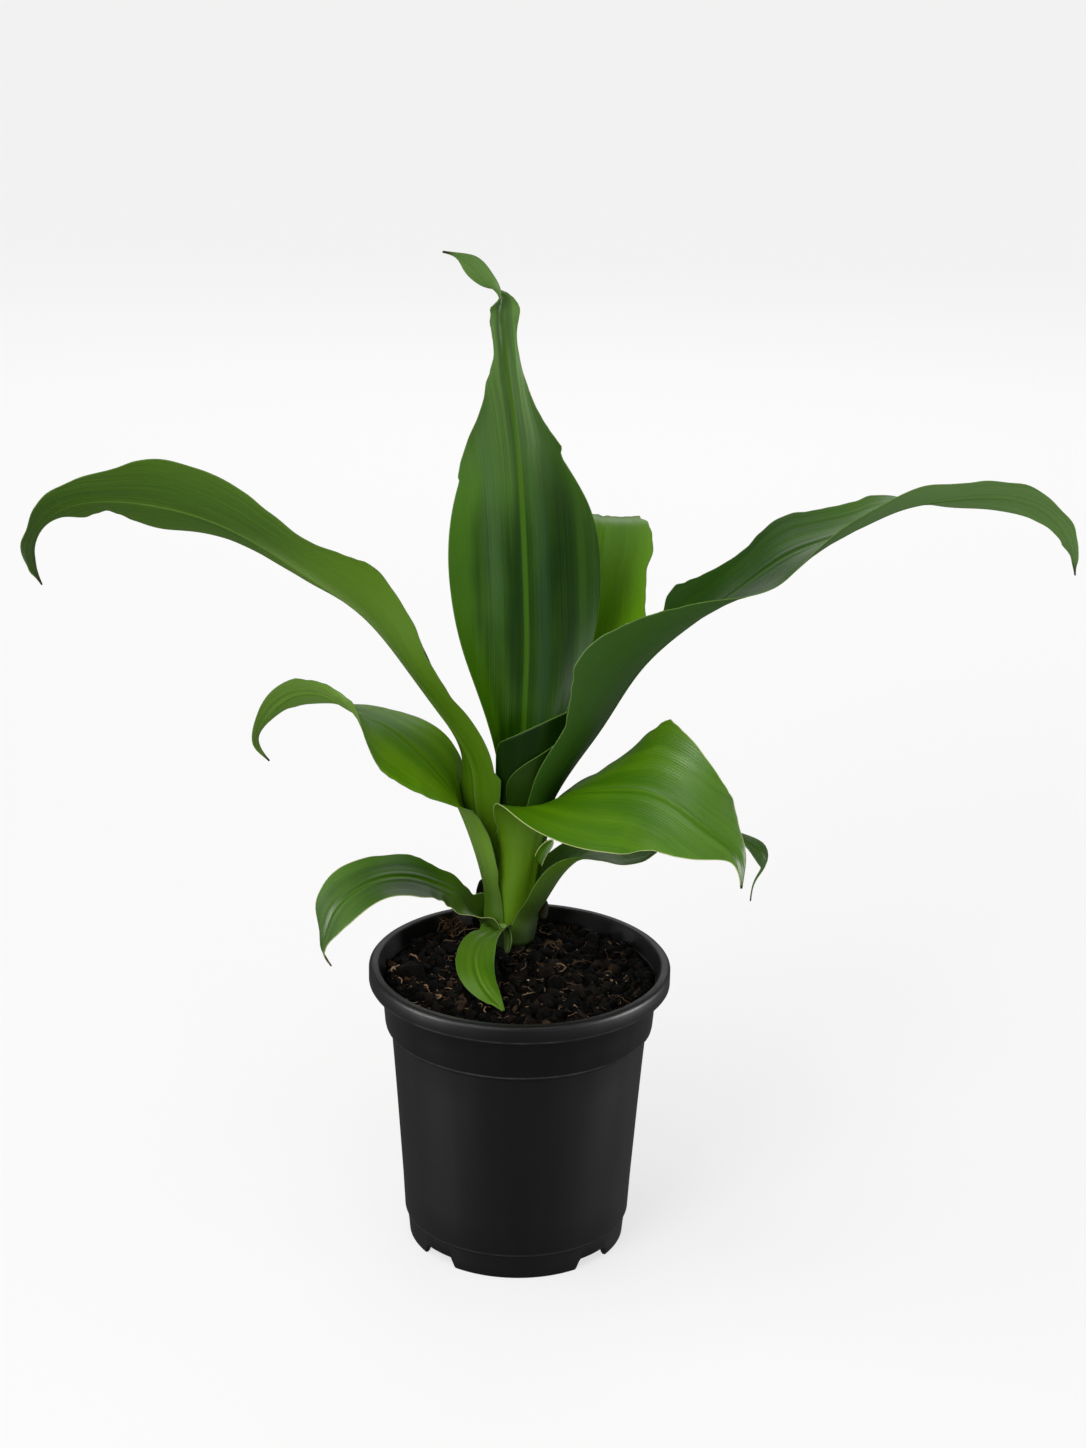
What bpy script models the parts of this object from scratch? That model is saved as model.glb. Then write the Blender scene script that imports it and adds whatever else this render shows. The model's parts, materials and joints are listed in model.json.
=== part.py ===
"""Potted corn plant: nine strap leaves on a short stem, potting soil and a nursery pot.

Runs by itself with: blender --background --python part.py

Sizes below are in millimetres and degrees, with the pot's axis at x = y = 0 and the floor at
z = 0, and become metres when a mesh is made. The front of the plant faces -Y. An empty at the
end carries every piece and moves the middle of the plant's footprint to the origin.

Each leaf is one solid. Its lower end is a sheath, an arc that wraps the stem. Above it the blade
is described by stations along its midrib: where the midrib is, how far the blade is rolled round
it, half its width, and how steeply its margins stand up.
"""
from collections import namedtuple
from math import cos, pi, radians, sin, tan

import bmesh
import bpy
import numpy as np

MM = 0.001
CLEARANCE = 0.3
SHARP_ANGLE = 40.0

# Pot
RIM_RADIUS = 70.0
RIM_INNER_RADIUS = 65.2
POT_HEIGHT = 138.0
LIP_DEPTH = 8.8
COLLAR_DEPTH = 29.5
WALL = 1.5
BODY_TOP_RADIUS = 59.8
BODY_FOOT_RADIUS = 53.0
STEP_HEIGHT = 12.0
FOOT_RADIUS = 50.8
FOOT_RING_WIDTH = 2.0
COLLAR_STEP = 2.6
COLLAR_TAPER = 2.4
EDGE = 0.8
PLATE_BOTTOM = 7.0
PLATE_TOP = 8.6
POT_SIDES = 40
NOTCH_COUNT = 4
NOTCH_WIDTH = 20.0
NOTCH_HEIGHT = 6.5
NOTCH_SLANT = 15.0
NOTCH_REACH = 8.0
NOTCH_DROP = 2.0
DRAIN_COUNT = 8
DRAIN_CIRCLE = 38.0
DRAIN_RADIUS = 4.0
DRAIN_CUT_DEPTH = 6.0
DRAIN_SIDES = 12

# Soil
SOIL_LEVEL = 130.0
SOIL_RINGS = 11
SOIL_SIDES = 40
SOIL_WAVE = 1.1
CLOD_COUNT = 26
CLOD_CIRCLE = 56.0
CLOD_REACH = (5.0, 9.0)
CLOD_RISE = (-1.4, 1.6)
SOIL_SEED = 11
CHIP_CENTRE = (-19.5, 53.0, 135.0)
CHIP_SIZE = (7.0, 4.5, 12.5)
CHIP_LEAN = 18.0
HOLE_TOP = 150.0

# Stem: its axis leans a little to the right and away from the viewer
STEM_BASE = (-6.5, 37.0, 132.0)
STEM_TOP = (1.5, 38.5, 205.0)
STEM_BOTTOM_HEIGHT = 96.0
STEM_FOOT_RADIUS = 10.6
STEM_SHOULDER_HEIGHT = 131.6
STEM_PROFILE = [(132.0, 7.6), (150.0, 6.2), (158.0, 5.0), (166.0, 4.0), (188.0, 4.0)]
STEM_SIDES = 20

# Leaves
LEAF_THICKNESS = 0.7
STRIPS_PER_HALF = 4
SHEATH_FLARE = 0.005
FLARE_HEIGHT = 155.0

Sheath = namedtuple("Sheath", "radius facing bottom top wrap_bottom wrap_top")
Leaf = namedtuple("Leaf", "name heading sheath steps colour blade")

# Blade stations: x, y, z of the midrib, roll, half width, cup angle at the margins
LEAVES = [
    Leaf("leaf_upright", 90, Sheath(4.9, 90, 168, 193, 95, 95), 28, (0.030, 0.085, 0.022), [
        (0.5, 44.5, 208, 0, 12.5, 78),
        (0, 46, 230, 0, 17, 66),
        (1, 49, 268, 0, 29, 36),
        (0, 53, 306, 0, 35.5, 20),
        (-2, 57, 342, 8, 32.5, 24),
        (-4, 61, 371, 24, 23, 42),
        (-7, 63, 399, 32, 13, 58),
        (-9, 63, 419, 18, 7, 50),
        (-12, 62, 436, 30, 5, 22),
        (-19, 60, 446, 44, 6.2, 14),
        (-26, 57, 454, 32, 5, 8),
        (-32, 55.5, 457, 20, 2.8, 4),
        (-39, 54, 459, 0, 0.6, 0),
    ]),
    Leaf("leaf_back", 68, Sheath(6.6, 15, 160, 192, 150, 150), 26, (0.110, 0.220, 0.070), [
        (11, 43, 207, 48, 31, 150),
        (14, 49, 222, 38, 24, 84),
        (17, 57, 240, 16, 25, 50),
        (25, 68, 266, 0, 28, 40),
        (33, 85, 299, 4, 28.5, 14),
        (36, 105, 318, 3, 26, 10),
        (37, 128, 316, 0, 22, 8),
        (37, 148, 299, 0, 16, 8),
        (36, 160, 274, 0, 9, 8),
        (35, 164, 250, 0, 0.6, 0),
    ]),
    Leaf("leaf_right", -3, Sheath(7.8, -3, 152, 190, 100, 88), 30, (0.032, 0.070, 0.028), [
        (17.5, 39, 211, 5, 20, 82),
        (36, 35, 242, 12, 26, 62),
        (54, 29, 274, 22, 31, 55),
        (75, 25, 296, 8, 32, 50),
        (98, 25, 314, -4, 30, 22),
        (120, 22, 333, -10, 29, 12),
        (143, 18, 345, 4, 27, 30),
        (167, 14, 357, 18, 25, 20),
        (191, 11, 361, 32, 20, 12),
        (215, 8, 362, 40, 16, 5),
        (232, 6, 355, 40, 10, 5),
        (241, 4, 343, 28, 6, 3),
        (244, 3, 329, 0, 0.6, 0),
    ]),
    Leaf("leaf_left", 183, Sheath(9.5, 183, 140, 168, 94, 84), 30, (0.055, 0.120, 0.035), [
        (-14, 38, 180, -22, 13, 48),
        (-19.5, 37.5, 193, -40, 12, 28),
        (-23, 36.5, 219, -38, 15, 40),
        (-39, 35, 247, -20, 19, 58),
        (-56, 31, 272, -8, 24, 60),
        (-75, 29, 298, -22, 29, 62),
        (-94, 27, 312.5, -31, 31.5, 40),
        (-119, 23, 331, -33, 32, 24),
        (-145, 19, 345, -41, 32.5, 24),
        (-167, 17, 351, -45, 30.5, 22),
        (-188, 15.5, 353, -38, 25.5, 18),
        (-205, 14, 350, -36, 19, 12),
        (-217, 13, 341, -24, 11.5, 14),
        (-221, 11.5, 328, -16, 6.5, 12),
        (-216, 10, 315, 0, 0.6, 0),
    ]),
    Leaf("leaf_mid_left", 188, Sheath(12.2, 188, 133, 153, 76, 62), 24, (0.075, 0.170, 0.040), [
        (-18, 34.5, 167, 0, 12.5, 55),
        (-25.5, 33.5, 192, -12, 14.5, 32),
        (-35, 32, 213, 10, 24, 25),
        (-50, 29.5, 231, 17, 29, -5),
        (-65, 26.5, 244, 8, 27, -20),
        (-79, 24, 252, -4, 23, -5),
        (-93, 22, 258, -16, 20, 28),
        (-107, 19, 258, -35, 15, 32),
        (-118, 17, 249, -28, 9, 20),
        (-122, 15, 240, -17, 5, 10),
        (-116, 13.5, 231, 0, 0.6, 0),
    ]),
    Leaf("leaf_front_right", -38, Sheath(10.9, -40, 133, 186, 104, 98), 24, (0.170, 0.360, 0.020), [
        (12, 27, 203, 8, 27, 56),
        (25, 12, 218, -15, 32, -5),
        (41, 1, 224, -36, 32, -15),
        (56, -8, 227, -50, 32, 10),
        (71, -17, 223, -58, 26, 22),
        (85, -24, 214, -40, 16, 15),
        (97, -28, 204, -20, 5, 0),
        (99, -31, 190, 0, 0.6, 0),
    ]),
    Leaf("leaf_low_right", 12, Sheath(13.4, -2, 133, 146, 99, 80), 20, (0.060, 0.150, 0.035), [
        (12, 35, 156, 15, 20, 60),
        (23, 32, 174, 20, 22.5, 38),
        (43, 33, 185, 0, 22.5, 10),
        (67, 37, 190, 0, 21, 8),
        (91, 40, 189.5, 10, 18, 12),
        (107, 41, 182, -5, 13.5, 5),
        (115, 40.5, 173, -28, 8, 0),
        (111, 39.5, 164, -25, 3.4, 0),
        (109, 38, 154, -15, 0.6, 0),
    ]),
    Leaf("leaf_low_left", 186, Sheath(13.4, 184, 133, 141, 73, 70), 20, (0.050, 0.130, 0.030), [
        (-23.5, 34, 149, 2, 13, 66),
        (-30, 33, 157, 10, 12.5, 58),
        (-39, 32, 162, 14, 14.5, 36),
        (-50, 30, 166.5, 10, 18, 10),
        (-64, 28, 167, 9, 19, 5),
        (-77, 26, 162, 15, 18, 10),
        (-87.5, 24.5, 152, 25, 15, 10),
        (-92, 23, 140, 17, 8, 5),
        (-93, 22.5, 132, 7, 3.8, 0),
        (-89, 21.5, 124.5, 0, 0.6, 0),
    ]),
    Leaf("leaf_front", -101, Sheath(15.2, -118, 134, 141, 26, 26), 16, (0.070, 0.170, 0.030), [
        (-11.5, 16, 146, -15, 8, 34),
        (-17, 8, 145, -15, 9, 25),
        (-20, 1, 142, -12, 9.5, 15),
        (-19.5, -10, 137.5, -6, 8, 5),
        (-13, -26, 134.5, 0, 4.5, 0),
        (-7.5, -37, 134, 0, 0.6, 0),
    ]),
]


def material(name, colour, roughness):
    """A plain Principled material."""
    made = bpy.data.materials.new(name)
    made.use_nodes = True
    shader = made.node_tree.nodes["Principled BSDF"]
    shader.inputs["Base Color"].default_value = (*colour, 1.0)
    shader.inputs["Roughness"].default_value = roughness
    shader.inputs["Metallic"].default_value = 0.0
    return made


def mesh_object(name, points, faces, look):
    """One object from points in millimetres and a list of faces."""
    mesh = bpy.data.meshes.new(name)
    mesh.from_pydata([tuple(float(v) * MM for v in p) for p in points], [], faces)
    mesh.validate()
    mesh.shade_smooth()
    mesh.set_sharp_from_angle(angle=radians(SHARP_ANGLE))
    made = bpy.data.objects.new(name, mesh)
    bpy.context.collection.objects.link(made)
    if look is not None:
        mesh.materials.append(look)
    return made


def turned_points(profile, sides, centre_at):
    """Rings of a profile of (radius, height) round a centre line, and the faces between them.

    centre_at(height) gives the centre line's x and y. The profile starts and ends on the centre
    line, where a ring shrinks to one point.
    """
    points = []
    rings = []
    for radius, height in profile:
        x, y = centre_at(height)
        if radius == 0:
            rings.append([len(points)])
            points.append((x, y, height))
            continue
        rings.append(list(range(len(points), len(points) + sides)))
        for k in range(sides):
            angle = 2 * pi * k / sides
            points.append((x + radius * cos(angle), y + radius * sin(angle), height))
    faces = []
    for low, high in zip(rings, rings[1:]):
        for k in range(sides):
            n = (k + 1) % sides
            if len(low) == 1:
                faces.append((low[0], high[n], high[k]))
            elif len(high) == 1:
                faces.append((low[k], low[n], high[0]))
            else:
                faces.append((low[k], low[n], high[n], high[k]))
    return points, faces


def on_pot_axis(height):
    """The pot's centre line."""
    return 0.0, 0.0


def on_stem_axis(height):
    """The leaning stem's centre line, straight through its two named points."""
    share = (height - STEM_BASE[2]) / (STEM_TOP[2] - STEM_BASE[2])
    return tuple(STEM_BASE[i] + share * (STEM_TOP[i] - STEM_BASE[i]) for i in range(2))


def pot_inner_wall():
    """Inner radius and height from the base plate up to the lip."""
    collar_bottom = POT_HEIGHT - COLLAR_DEPTH
    return [
        (BODY_FOOT_RADIUS - WALL - 1.0, PLATE_TOP),
        (BODY_FOOT_RADIUS - WALL, STEP_HEIGHT + 1.0),
        (BODY_TOP_RADIUS - WALL, collar_bottom - 1.5),
        (BODY_TOP_RADIUS + COLLAR_STEP - WALL, collar_bottom + 0.5),
        (RIM_INNER_RADIUS - COLLAR_TAPER, POT_HEIGHT - LIP_DEPTH),
        (RIM_INNER_RADIUS, POT_HEIGHT - EDGE),
    ]


def drain_cutter():
    """The wedge cuts in the foot and the round holes in the base plate, as one cutter."""
    mesh = bmesh.new()
    half = NOTCH_WIDTH / 2
    slope = NOTCH_HEIGHT * tan(radians(NOTCH_SLANT))
    outline = [(half, -NOTCH_DROP), (half - slope, NOTCH_HEIGHT), (slope - half, NOTCH_HEIGHT),
               (-half, -NOTCH_DROP)]
    for k in range(NOTCH_COUNT):
        turn = pi / 4 + k * 2 * pi / NOTCH_COUNT
        loops = []
        for reach in (FOOT_RADIUS - NOTCH_REACH, FOOT_RADIUS + NOTCH_REACH):
            row = []
            for across, height in outline:
                x = reach * cos(turn) - across * sin(turn)
                y = reach * sin(turn) + across * cos(turn)
                row.append(mesh.verts.new((x * MM, y * MM, height * MM)))
            loops.append(row)
        mesh.faces.new(loops[0])
        mesh.faces.new(loops[1][::-1])
        for i in range(4):
            j = (i + 1) % 4
            mesh.faces.new((loops[0][j], loops[0][i], loops[1][i], loops[1][j]))
    for k in range(DRAIN_COUNT):
        turn = k * 2 * pi / DRAIN_COUNT
        made = bmesh.ops.create_cone(mesh, cap_ends=True, segments=DRAIN_SIDES, radius1=DRAIN_RADIUS * MM,
                                     radius2=DRAIN_RADIUS * MM, depth=DRAIN_CUT_DEPTH * MM)
        shift = (DRAIN_CIRCLE * cos(turn) * MM, DRAIN_CIRCLE * sin(turn) * MM, PLATE_TOP * MM)
        bmesh.ops.translate(mesh, vec=shift, verts=made["verts"])
    bmesh.ops.recalc_face_normals(mesh, faces=mesh.faces)
    data = bpy.data.meshes.new("pot_drain_cutter")
    mesh.to_mesh(data)
    mesh.free()
    return as_cutter(bpy.data.objects.new("pot_drain_cutter", data))


def as_cutter(made):
    """Hide a cutting shape from renders."""
    if made.name not in bpy.context.collection.objects:
        bpy.context.collection.objects.link(made)
    made.hide_render = True
    made.display_type = "WIRE"
    return made


def cut(target, tool, operation="DIFFERENCE"):
    """A live Boolean on the target."""
    step = target.modifiers.new(tool.name, "BOOLEAN")
    step.operation = operation
    step.object = tool


def make_pot():
    """Turned pot: foot ring, tapered body, stepped-out collar and flat lip."""
    collar_bottom = POT_HEIGHT - COLLAR_DEPTH
    lip_bottom = POT_HEIGHT - LIP_DEPTH
    outer = [
        (0, PLATE_BOTTOM),
        (FOOT_RADIUS - FOOT_RING_WIDTH, PLATE_BOTTOM),
        (FOOT_RADIUS - FOOT_RING_WIDTH, 0.0),
        (FOOT_RADIUS, 0.0),
        (BODY_FOOT_RADIUS - EDGE, STEP_HEIGHT),
        (BODY_FOOT_RADIUS, STEP_HEIGHT + 0.5),
        (BODY_TOP_RADIUS, collar_bottom - 1.0),
        (BODY_TOP_RADIUS + COLLAR_STEP, collar_bottom),
        (RIM_INNER_RADIUS + WALL - COLLAR_TAPER, lip_bottom),
        (RIM_RADIUS - EDGE, lip_bottom),
        (RIM_RADIUS, lip_bottom + EDGE),
        (RIM_RADIUS, POT_HEIGHT - 1.5 * EDGE),
        (RIM_RADIUS - EDGE, POT_HEIGHT - 0.3 * EDGE),
        (RIM_RADIUS - 2 * EDGE, POT_HEIGHT),
        (RIM_INNER_RADIUS + EDGE, POT_HEIGHT),
    ]
    profile = outer + pot_inner_wall()[::-1] + [(0, PLATE_TOP)]
    points, faces = turned_points(profile, POT_SIDES, on_pot_axis)
    pot = mesh_object("pot", points, faces, material("black_plastic", (0.012, 0.013, 0.014), 0.45))
    cut(pot, drain_cutter())
    return pot


def soil_relief(x, y, clods):
    """Height of the soil's surface: a slow wave plus a low dome for each clod."""
    wave = sin(x / 11.0 + 1.0) * cos(y / 13.0) + 0.6 * sin((x + 2 * y) / 17.0)
    height = SOIL_LEVEL + SOIL_WAVE * wave
    for cx, cy, reach, rise in clods:
        height += rise * np.exp(-((x - cx) ** 2 + (y - cy) ** 2) / reach ** 2)
    return height


def make_soil():
    """Soil plug that fills the pot, with a lumpy top, a plain hole for the stem and a bark chip."""
    draw = np.random.default_rng(SOIL_SEED)
    clods = []
    for _ in range(CLOD_COUNT):
        distance = CLOD_CIRCLE * np.sqrt(draw.uniform(0.02, 1.0))
        angle = draw.uniform(0, 2 * pi)
        clods.append((distance * cos(angle), distance * sin(angle), draw.uniform(*CLOD_REACH),
                      draw.uniform(*CLOD_RISE)))
    side = []
    for radius, height in pot_inner_wall()[:-1]:
        side.append((radius - CLEARANCE, height + CLEARANCE))
    top_radius = side[-1][0] - 0.6
    profile = [(0, side[0][1])] + side
    for k in range(SOIL_RINGS):
        profile.append((top_radius * (1 - k / SOIL_RINGS), SOIL_LEVEL))
    profile.append((0, SOIL_LEVEL))
    points, faces = turned_points(profile, SOIL_SIDES, on_pot_axis)
    first_top = 1 + len(side) * SOIL_SIDES
    for k in range(first_top, len(points)):
        x, y, _ = points[k]
        points[k] = (x, y, soil_relief(x, y, clods))
    soil = mesh_object("soil", points, faces, material("potting_soil", (0.018, 0.012, 0.009), 0.95))

    chip_mesh = bmesh.new()
    bmesh.ops.create_icosphere(chip_mesh, subdivisions=1, radius=1.0)
    lean = sin(radians(CHIP_LEAN))
    for vertex in chip_mesh.verts:
        x, y, z = vertex.co.x, vertex.co.y, vertex.co.z
        across = x * CHIP_SIZE[0] + z * CHIP_SIZE[2] * lean
        place = (CHIP_CENTRE[0] + across, CHIP_CENTRE[1] + y * CHIP_SIZE[1],
                 CHIP_CENTRE[2] + z * CHIP_SIZE[2])
        vertex.co = [v * MM for v in place]
    data = bpy.data.meshes.new("bark_chip")
    chip_mesh.to_mesh(data)
    chip_mesh.free()
    chip = as_cutter(bpy.data.objects.new("bark_chip", data))
    cut(soil, chip, "UNION")

    depth = STEM_BOTTOM_HEIGHT - 2 * CLEARANCE
    radius = STEM_FOOT_RADIUS + CLEARANCE
    hole, hole_faces = turned_points([(0, depth), (radius, depth), (radius, HOLE_TOP), (0, HOLE_TOP)],
                                     STEM_SIDES, on_stem_axis)
    cut(soil, as_cutter(mesh_object("stem_hole_cutter", hole, hole_faces, None)))
    return soil


def make_stem():
    """The short stem: a stout foot in the soil, then a core that the leaf sheaths wrap."""
    profile = [(0, STEM_BOTTOM_HEIGHT), (STEM_FOOT_RADIUS * 0.8, STEM_BOTTOM_HEIGHT),
               (STEM_FOOT_RADIUS, STEM_BOTTOM_HEIGHT + 8), (STEM_FOOT_RADIUS, STEM_SHOULDER_HEIGHT)]
    profile += [(radius, height) for height, radius in STEM_PROFILE]
    profile.append((0, STEM_PROFILE[-1][0]))
    points, faces = turned_points(profile, STEM_SIDES, on_stem_axis)
    return mesh_object("stem", points, faces, material("stem_green", (0.080, 0.130, 0.030), 0.6))


def sheath_stations(leaf):
    """Stations of the sheath: an arc round the stem that widens with height.

    The roll turns the arc from the blade's heading to the way the sheath faces.
    """
    sheath = leaf.sheath
    rows = []
    for share in (0.0, 0.5, 1.0):
        height = sheath.bottom + share * (sheath.top - sheath.bottom)
        wrap = sheath.wrap_bottom + share * (sheath.wrap_top - sheath.wrap_bottom)
        radius = sheath.radius * (1 + SHEATH_FLARE * (height - FLARE_HEIGHT))
        x, y = on_stem_axis(height)
        facing = radians(sheath.facing)
        rows.append((x + radius * cos(facing), y + radius * sin(facing), height,
                     float(leaf.heading - sheath.facing), radius * radians(wrap), wrap))
    return rows


def smooth_through(stations, steps):
    """Natural cubic spline through the stations, by their distance along the midrib.

    Returns the columns at steps + 1 even places, and the midrib's direction there.
    """
    rows = np.array(stations, float)
    span = np.linalg.norm(np.diff(rows[:, :3], axis=0), axis=1)
    at = np.concatenate([[0.0], np.cumsum(span)])
    count = len(rows)
    system = np.eye(count)
    right = np.zeros_like(rows)
    for i in range(1, count - 1):
        system[i, i - 1:i + 2] = span[i - 1], 2 * (span[i - 1] + span[i]), span[i]
        right[i] = 6 * ((rows[i + 1] - rows[i]) / span[i] - (rows[i] - rows[i - 1]) / span[i - 1])
    bend = np.linalg.solve(system, right)
    place = np.linspace(0.0, at[-1], steps + 1)
    k = np.clip(np.searchsorted(at, place, side="right") - 1, 0, count - 2)
    gap = span[k][:, None]
    a = (at[k + 1] - place)[:, None] / gap
    b = 1 - a
    value = a * rows[k] + b * rows[k + 1]
    value += ((a ** 3 - a) * bend[k] + (b ** 3 - b) * bend[k + 1]) * gap ** 2 / 6
    slope = (rows[k + 1] - rows[k]) / gap
    slope += (-(3 * a ** 2 - 1) * bend[k] + (3 * b ** 2 - 1) * bend[k + 1]) * gap / 6
    along = slope[:, :3] / np.linalg.norm(slope[:, :3], axis=1)[:, None]
    return value, along


def leaf_grid(leaf):
    """Middle surface of a leaf, as rows across the blade from its left margin to its right.

    The section's right-hand direction starts level and square to the leaf's heading, is made
    square to the midrib, and is turned by the roll. Each half of the section is an arc that
    leaves the midrib flat and ends at the cup angle: with t from 0 to 1 and the cup c, it runs
    width * sin(c t) / c outwards and width * (1 - cos(c t)) / c upwards.
    """
    value, along = smooth_through(sheath_stations(leaf) + leaf.blade, leaf.steps)
    heading = radians(leaf.heading)
    level = np.array([sin(heading), -cos(heading), 0.0])
    right = level - along * (along @ level)[:, None]
    right /= np.linalg.norm(right, axis=1)[:, None]
    up = np.cross(right, along)
    roll = np.radians(value[:, 3])[:, None]
    right, up = right * np.cos(roll) + up * np.sin(roll), up * np.cos(roll) - right * np.sin(roll)
    across = np.linspace(-1.0, 1.0, 2 * STRIPS_PER_HALF + 1)
    angle = np.radians(value[:, 5])[:, None] * np.abs(across)
    width = np.maximum(value[:, 4], 0.5)[:, None]
    out = width * across * np.sinc(angle / pi)
    lift = width * np.abs(across) * np.sin(angle / 2) * np.sinc(angle / (2 * pi))
    return value[:, None, :3] + out[..., None] * right[:, None] + lift[..., None] * up[:, None]


def make_leaf(leaf):
    """A closed leaf: its middle surface moved half the thickness each way, and a rim round it."""
    middle = leaf_grid(leaf)
    down_leaf = np.gradient(middle, axis=0)
    over_leaf = np.gradient(middle, axis=1)
    normal = np.cross(over_leaf, down_leaf)
    normal /= np.linalg.norm(normal, axis=2)[..., None]
    top = middle + normal * LEAF_THICKNESS / 2
    bottom = middle - normal * LEAF_THICKNESS / 2
    rows, columns = middle.shape[:2]
    points = np.concatenate([top.reshape(-1, 3), bottom.reshape(-1, 3)])
    under = rows * columns
    index = np.arange(under).reshape(rows, columns)
    faces = []
    for i in range(rows - 1):
        for j in range(columns - 1):
            a, b = index[i, j], index[i, j + 1]
            c, d = index[i + 1, j + 1], index[i + 1, j]
            halves = ((a, b, c), (a, c, d)) if j < STRIPS_PER_HALF else ((a, b, d), (b, c, d))
            for face in halves:
                faces.append(face)
                faces.append(tuple(under + v for v in face[::-1]))
    rim = list(index[0]) + list(index[1:, -1]) + list(index[-1, -2::-1]) + list(index[-2:0:-1, 0])
    for a, b in zip(rim, rim[1:] + rim[:1]):
        faces.append((a, under + a, under + b))
        faces.append((a, under + b, b))
    faces = [tuple(int(v) for v in face) for face in faces]
    return mesh_object(leaf.name, points, faces, material(leaf.name + "_green", leaf.colour, 0.4))


def stand_on_origin(pieces):
    """Hang every piece on one empty that puts the middle of their footprint at the origin."""
    corners = np.array([vertex.co for piece in pieces for vertex in piece.data.vertices])
    middle = (corners.min(axis=0) + corners.max(axis=0)) / 2
    root = bpy.data.objects.new("plant_root", None)
    bpy.context.collection.objects.link(root)
    root.location = (-middle[0], -middle[1], 0.0)
    for item in bpy.data.objects:
        if item is not root:
            item.parent = root


def main():
    """Clear the scene and build the plant."""
    for item in list(bpy.data.objects):
        bpy.data.objects.remove(item, do_unlink=True)
    pieces = [make_pot(), make_soil(), make_stem()]
    pieces += [make_leaf(leaf) for leaf in LEAVES]
    stand_on_origin(pieces)


main()
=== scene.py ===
# %% [markdown]
# # A young corn plant in a nursery pot
#
# This lesson dresses a plain CAD model of a potted corn plant. The CAD model has the right places
# and sizes: a pot, the soil, a short stem and nine strap leaves, each a closed solid. Here each
# leaf gets a finer surface of the same form, with a midrib, pleats, wavy margins and a thin rim.
# The soil gets clods, bark and roots, and the pot gets its rounded lip and moulding marks.
#
# All shapes are worked out in millimetres, with the pot's axis at x = y = 0 and the floor at
# z = 0. The front of the plant faces -Y.

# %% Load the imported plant
import json
from math import cos, pi, radians, sin

import bmesh
import bpy
import numpy as np
from mathutils import Matrix, Vector


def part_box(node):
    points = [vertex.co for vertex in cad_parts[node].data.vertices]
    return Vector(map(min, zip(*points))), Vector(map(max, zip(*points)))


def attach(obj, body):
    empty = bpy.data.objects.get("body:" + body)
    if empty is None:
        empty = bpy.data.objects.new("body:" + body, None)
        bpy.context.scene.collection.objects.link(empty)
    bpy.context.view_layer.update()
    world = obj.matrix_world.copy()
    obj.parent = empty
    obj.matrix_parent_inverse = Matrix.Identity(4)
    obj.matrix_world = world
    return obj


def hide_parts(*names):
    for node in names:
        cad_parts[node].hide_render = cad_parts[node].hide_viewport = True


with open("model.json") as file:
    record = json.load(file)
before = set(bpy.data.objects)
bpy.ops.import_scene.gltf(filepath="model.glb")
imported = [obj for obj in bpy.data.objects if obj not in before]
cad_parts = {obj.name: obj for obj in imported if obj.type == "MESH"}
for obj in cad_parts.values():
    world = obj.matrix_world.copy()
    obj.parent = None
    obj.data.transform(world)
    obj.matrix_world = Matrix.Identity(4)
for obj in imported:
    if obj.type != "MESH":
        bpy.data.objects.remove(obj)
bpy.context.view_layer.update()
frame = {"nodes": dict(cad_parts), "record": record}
MM = 0.001
pot_low, pot_high = (np.array(corner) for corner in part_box("pot"))
POT_AXIS = np.array([(pot_low[0] + pot_high[0]) / 2, (pot_low[1] + pot_high[1]) / 2, 0.0])
print("pot axis in metres:", POT_AXIS.round(4), "nodes:", sorted(frame["nodes"]))


# %% [markdown]
# ## From arrays to a mesh
#
# Every piece is a set of points and faces in numpy arrays. Handing whole arrays to Blender with
# foreach_set is much quicker than adding vertices one at a time. A point attribute carries extra
# numbers with each vertex, such as how far it is from a leaf's margin, so that a material can
# follow the surface from any side.

# %% Mesh from arrays
def new_piece(name, points, faces, attributes=None, *, look, node=None, slot=None, flat=False):
    """Mesh object from points in mm (n, 3) and faces (m, 3) or (m, 4), riding on the root body.

    attributes holds one vector per point under each name. The piece takes the place of a CAD
    node, or it is an addition. Its slot argument is not used.
    """
    mesh = bpy.data.meshes.new(name)
    mesh.vertices.add(len(points))
    mesh.vertices.foreach_set("co", (points * MM + POT_AXIS).astype(np.float32).ravel())
    sides = faces.shape[1]
    mesh.loops.add(faces.size)
    mesh.loops.foreach_set("vertex_index", faces.astype(np.int32).ravel())
    mesh.polygons.add(len(faces))
    mesh.polygons.foreach_set("loop_start", np.arange(0, faces.size, sides, dtype=np.int32))
    for key, values in (attributes or {}).items():
        data = mesh.attributes.new(key, "FLOAT_VECTOR", "POINT")
        data.data.foreach_set("vector", values.astype(np.float32).ravel())
    mesh.update(calc_edges=True)
    mesh.validate()
    if flat:
        mesh.shade_flat()
    else:
        mesh.shade_smooth()
    piece = bpy.data.objects.new(name, mesh)
    bpy.context.collection.objects.link(piece)
    mesh.materials.append(look)
    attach(piece, "root")
    if node:
        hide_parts(node)
    print(f"{name}: {len(points)} points, {len(faces)} faces")
    return piece


def node_slot(node):
    """The record's material slot of a CAD node."""
    for part in frame["record"]["subparts"]:
        if part["node"] == node:
            return part["material_slot"]
    return None


# %% Grids and noise
def grid_faces(rows, columns, closed=False):
    """Quads of a grid whose vertex (i, j) has the number i * columns + j."""
    index = np.arange(rows * columns).reshape(rows, columns)
    if closed:
        index = np.concatenate([index, index[:, :1]], axis=1)
    corners = [index[:-1, :-1], index[:-1, 1:], index[1:, 1:], index[1:, :-1]]
    return np.stack(corners, axis=-1).reshape(-1, 4)


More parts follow.
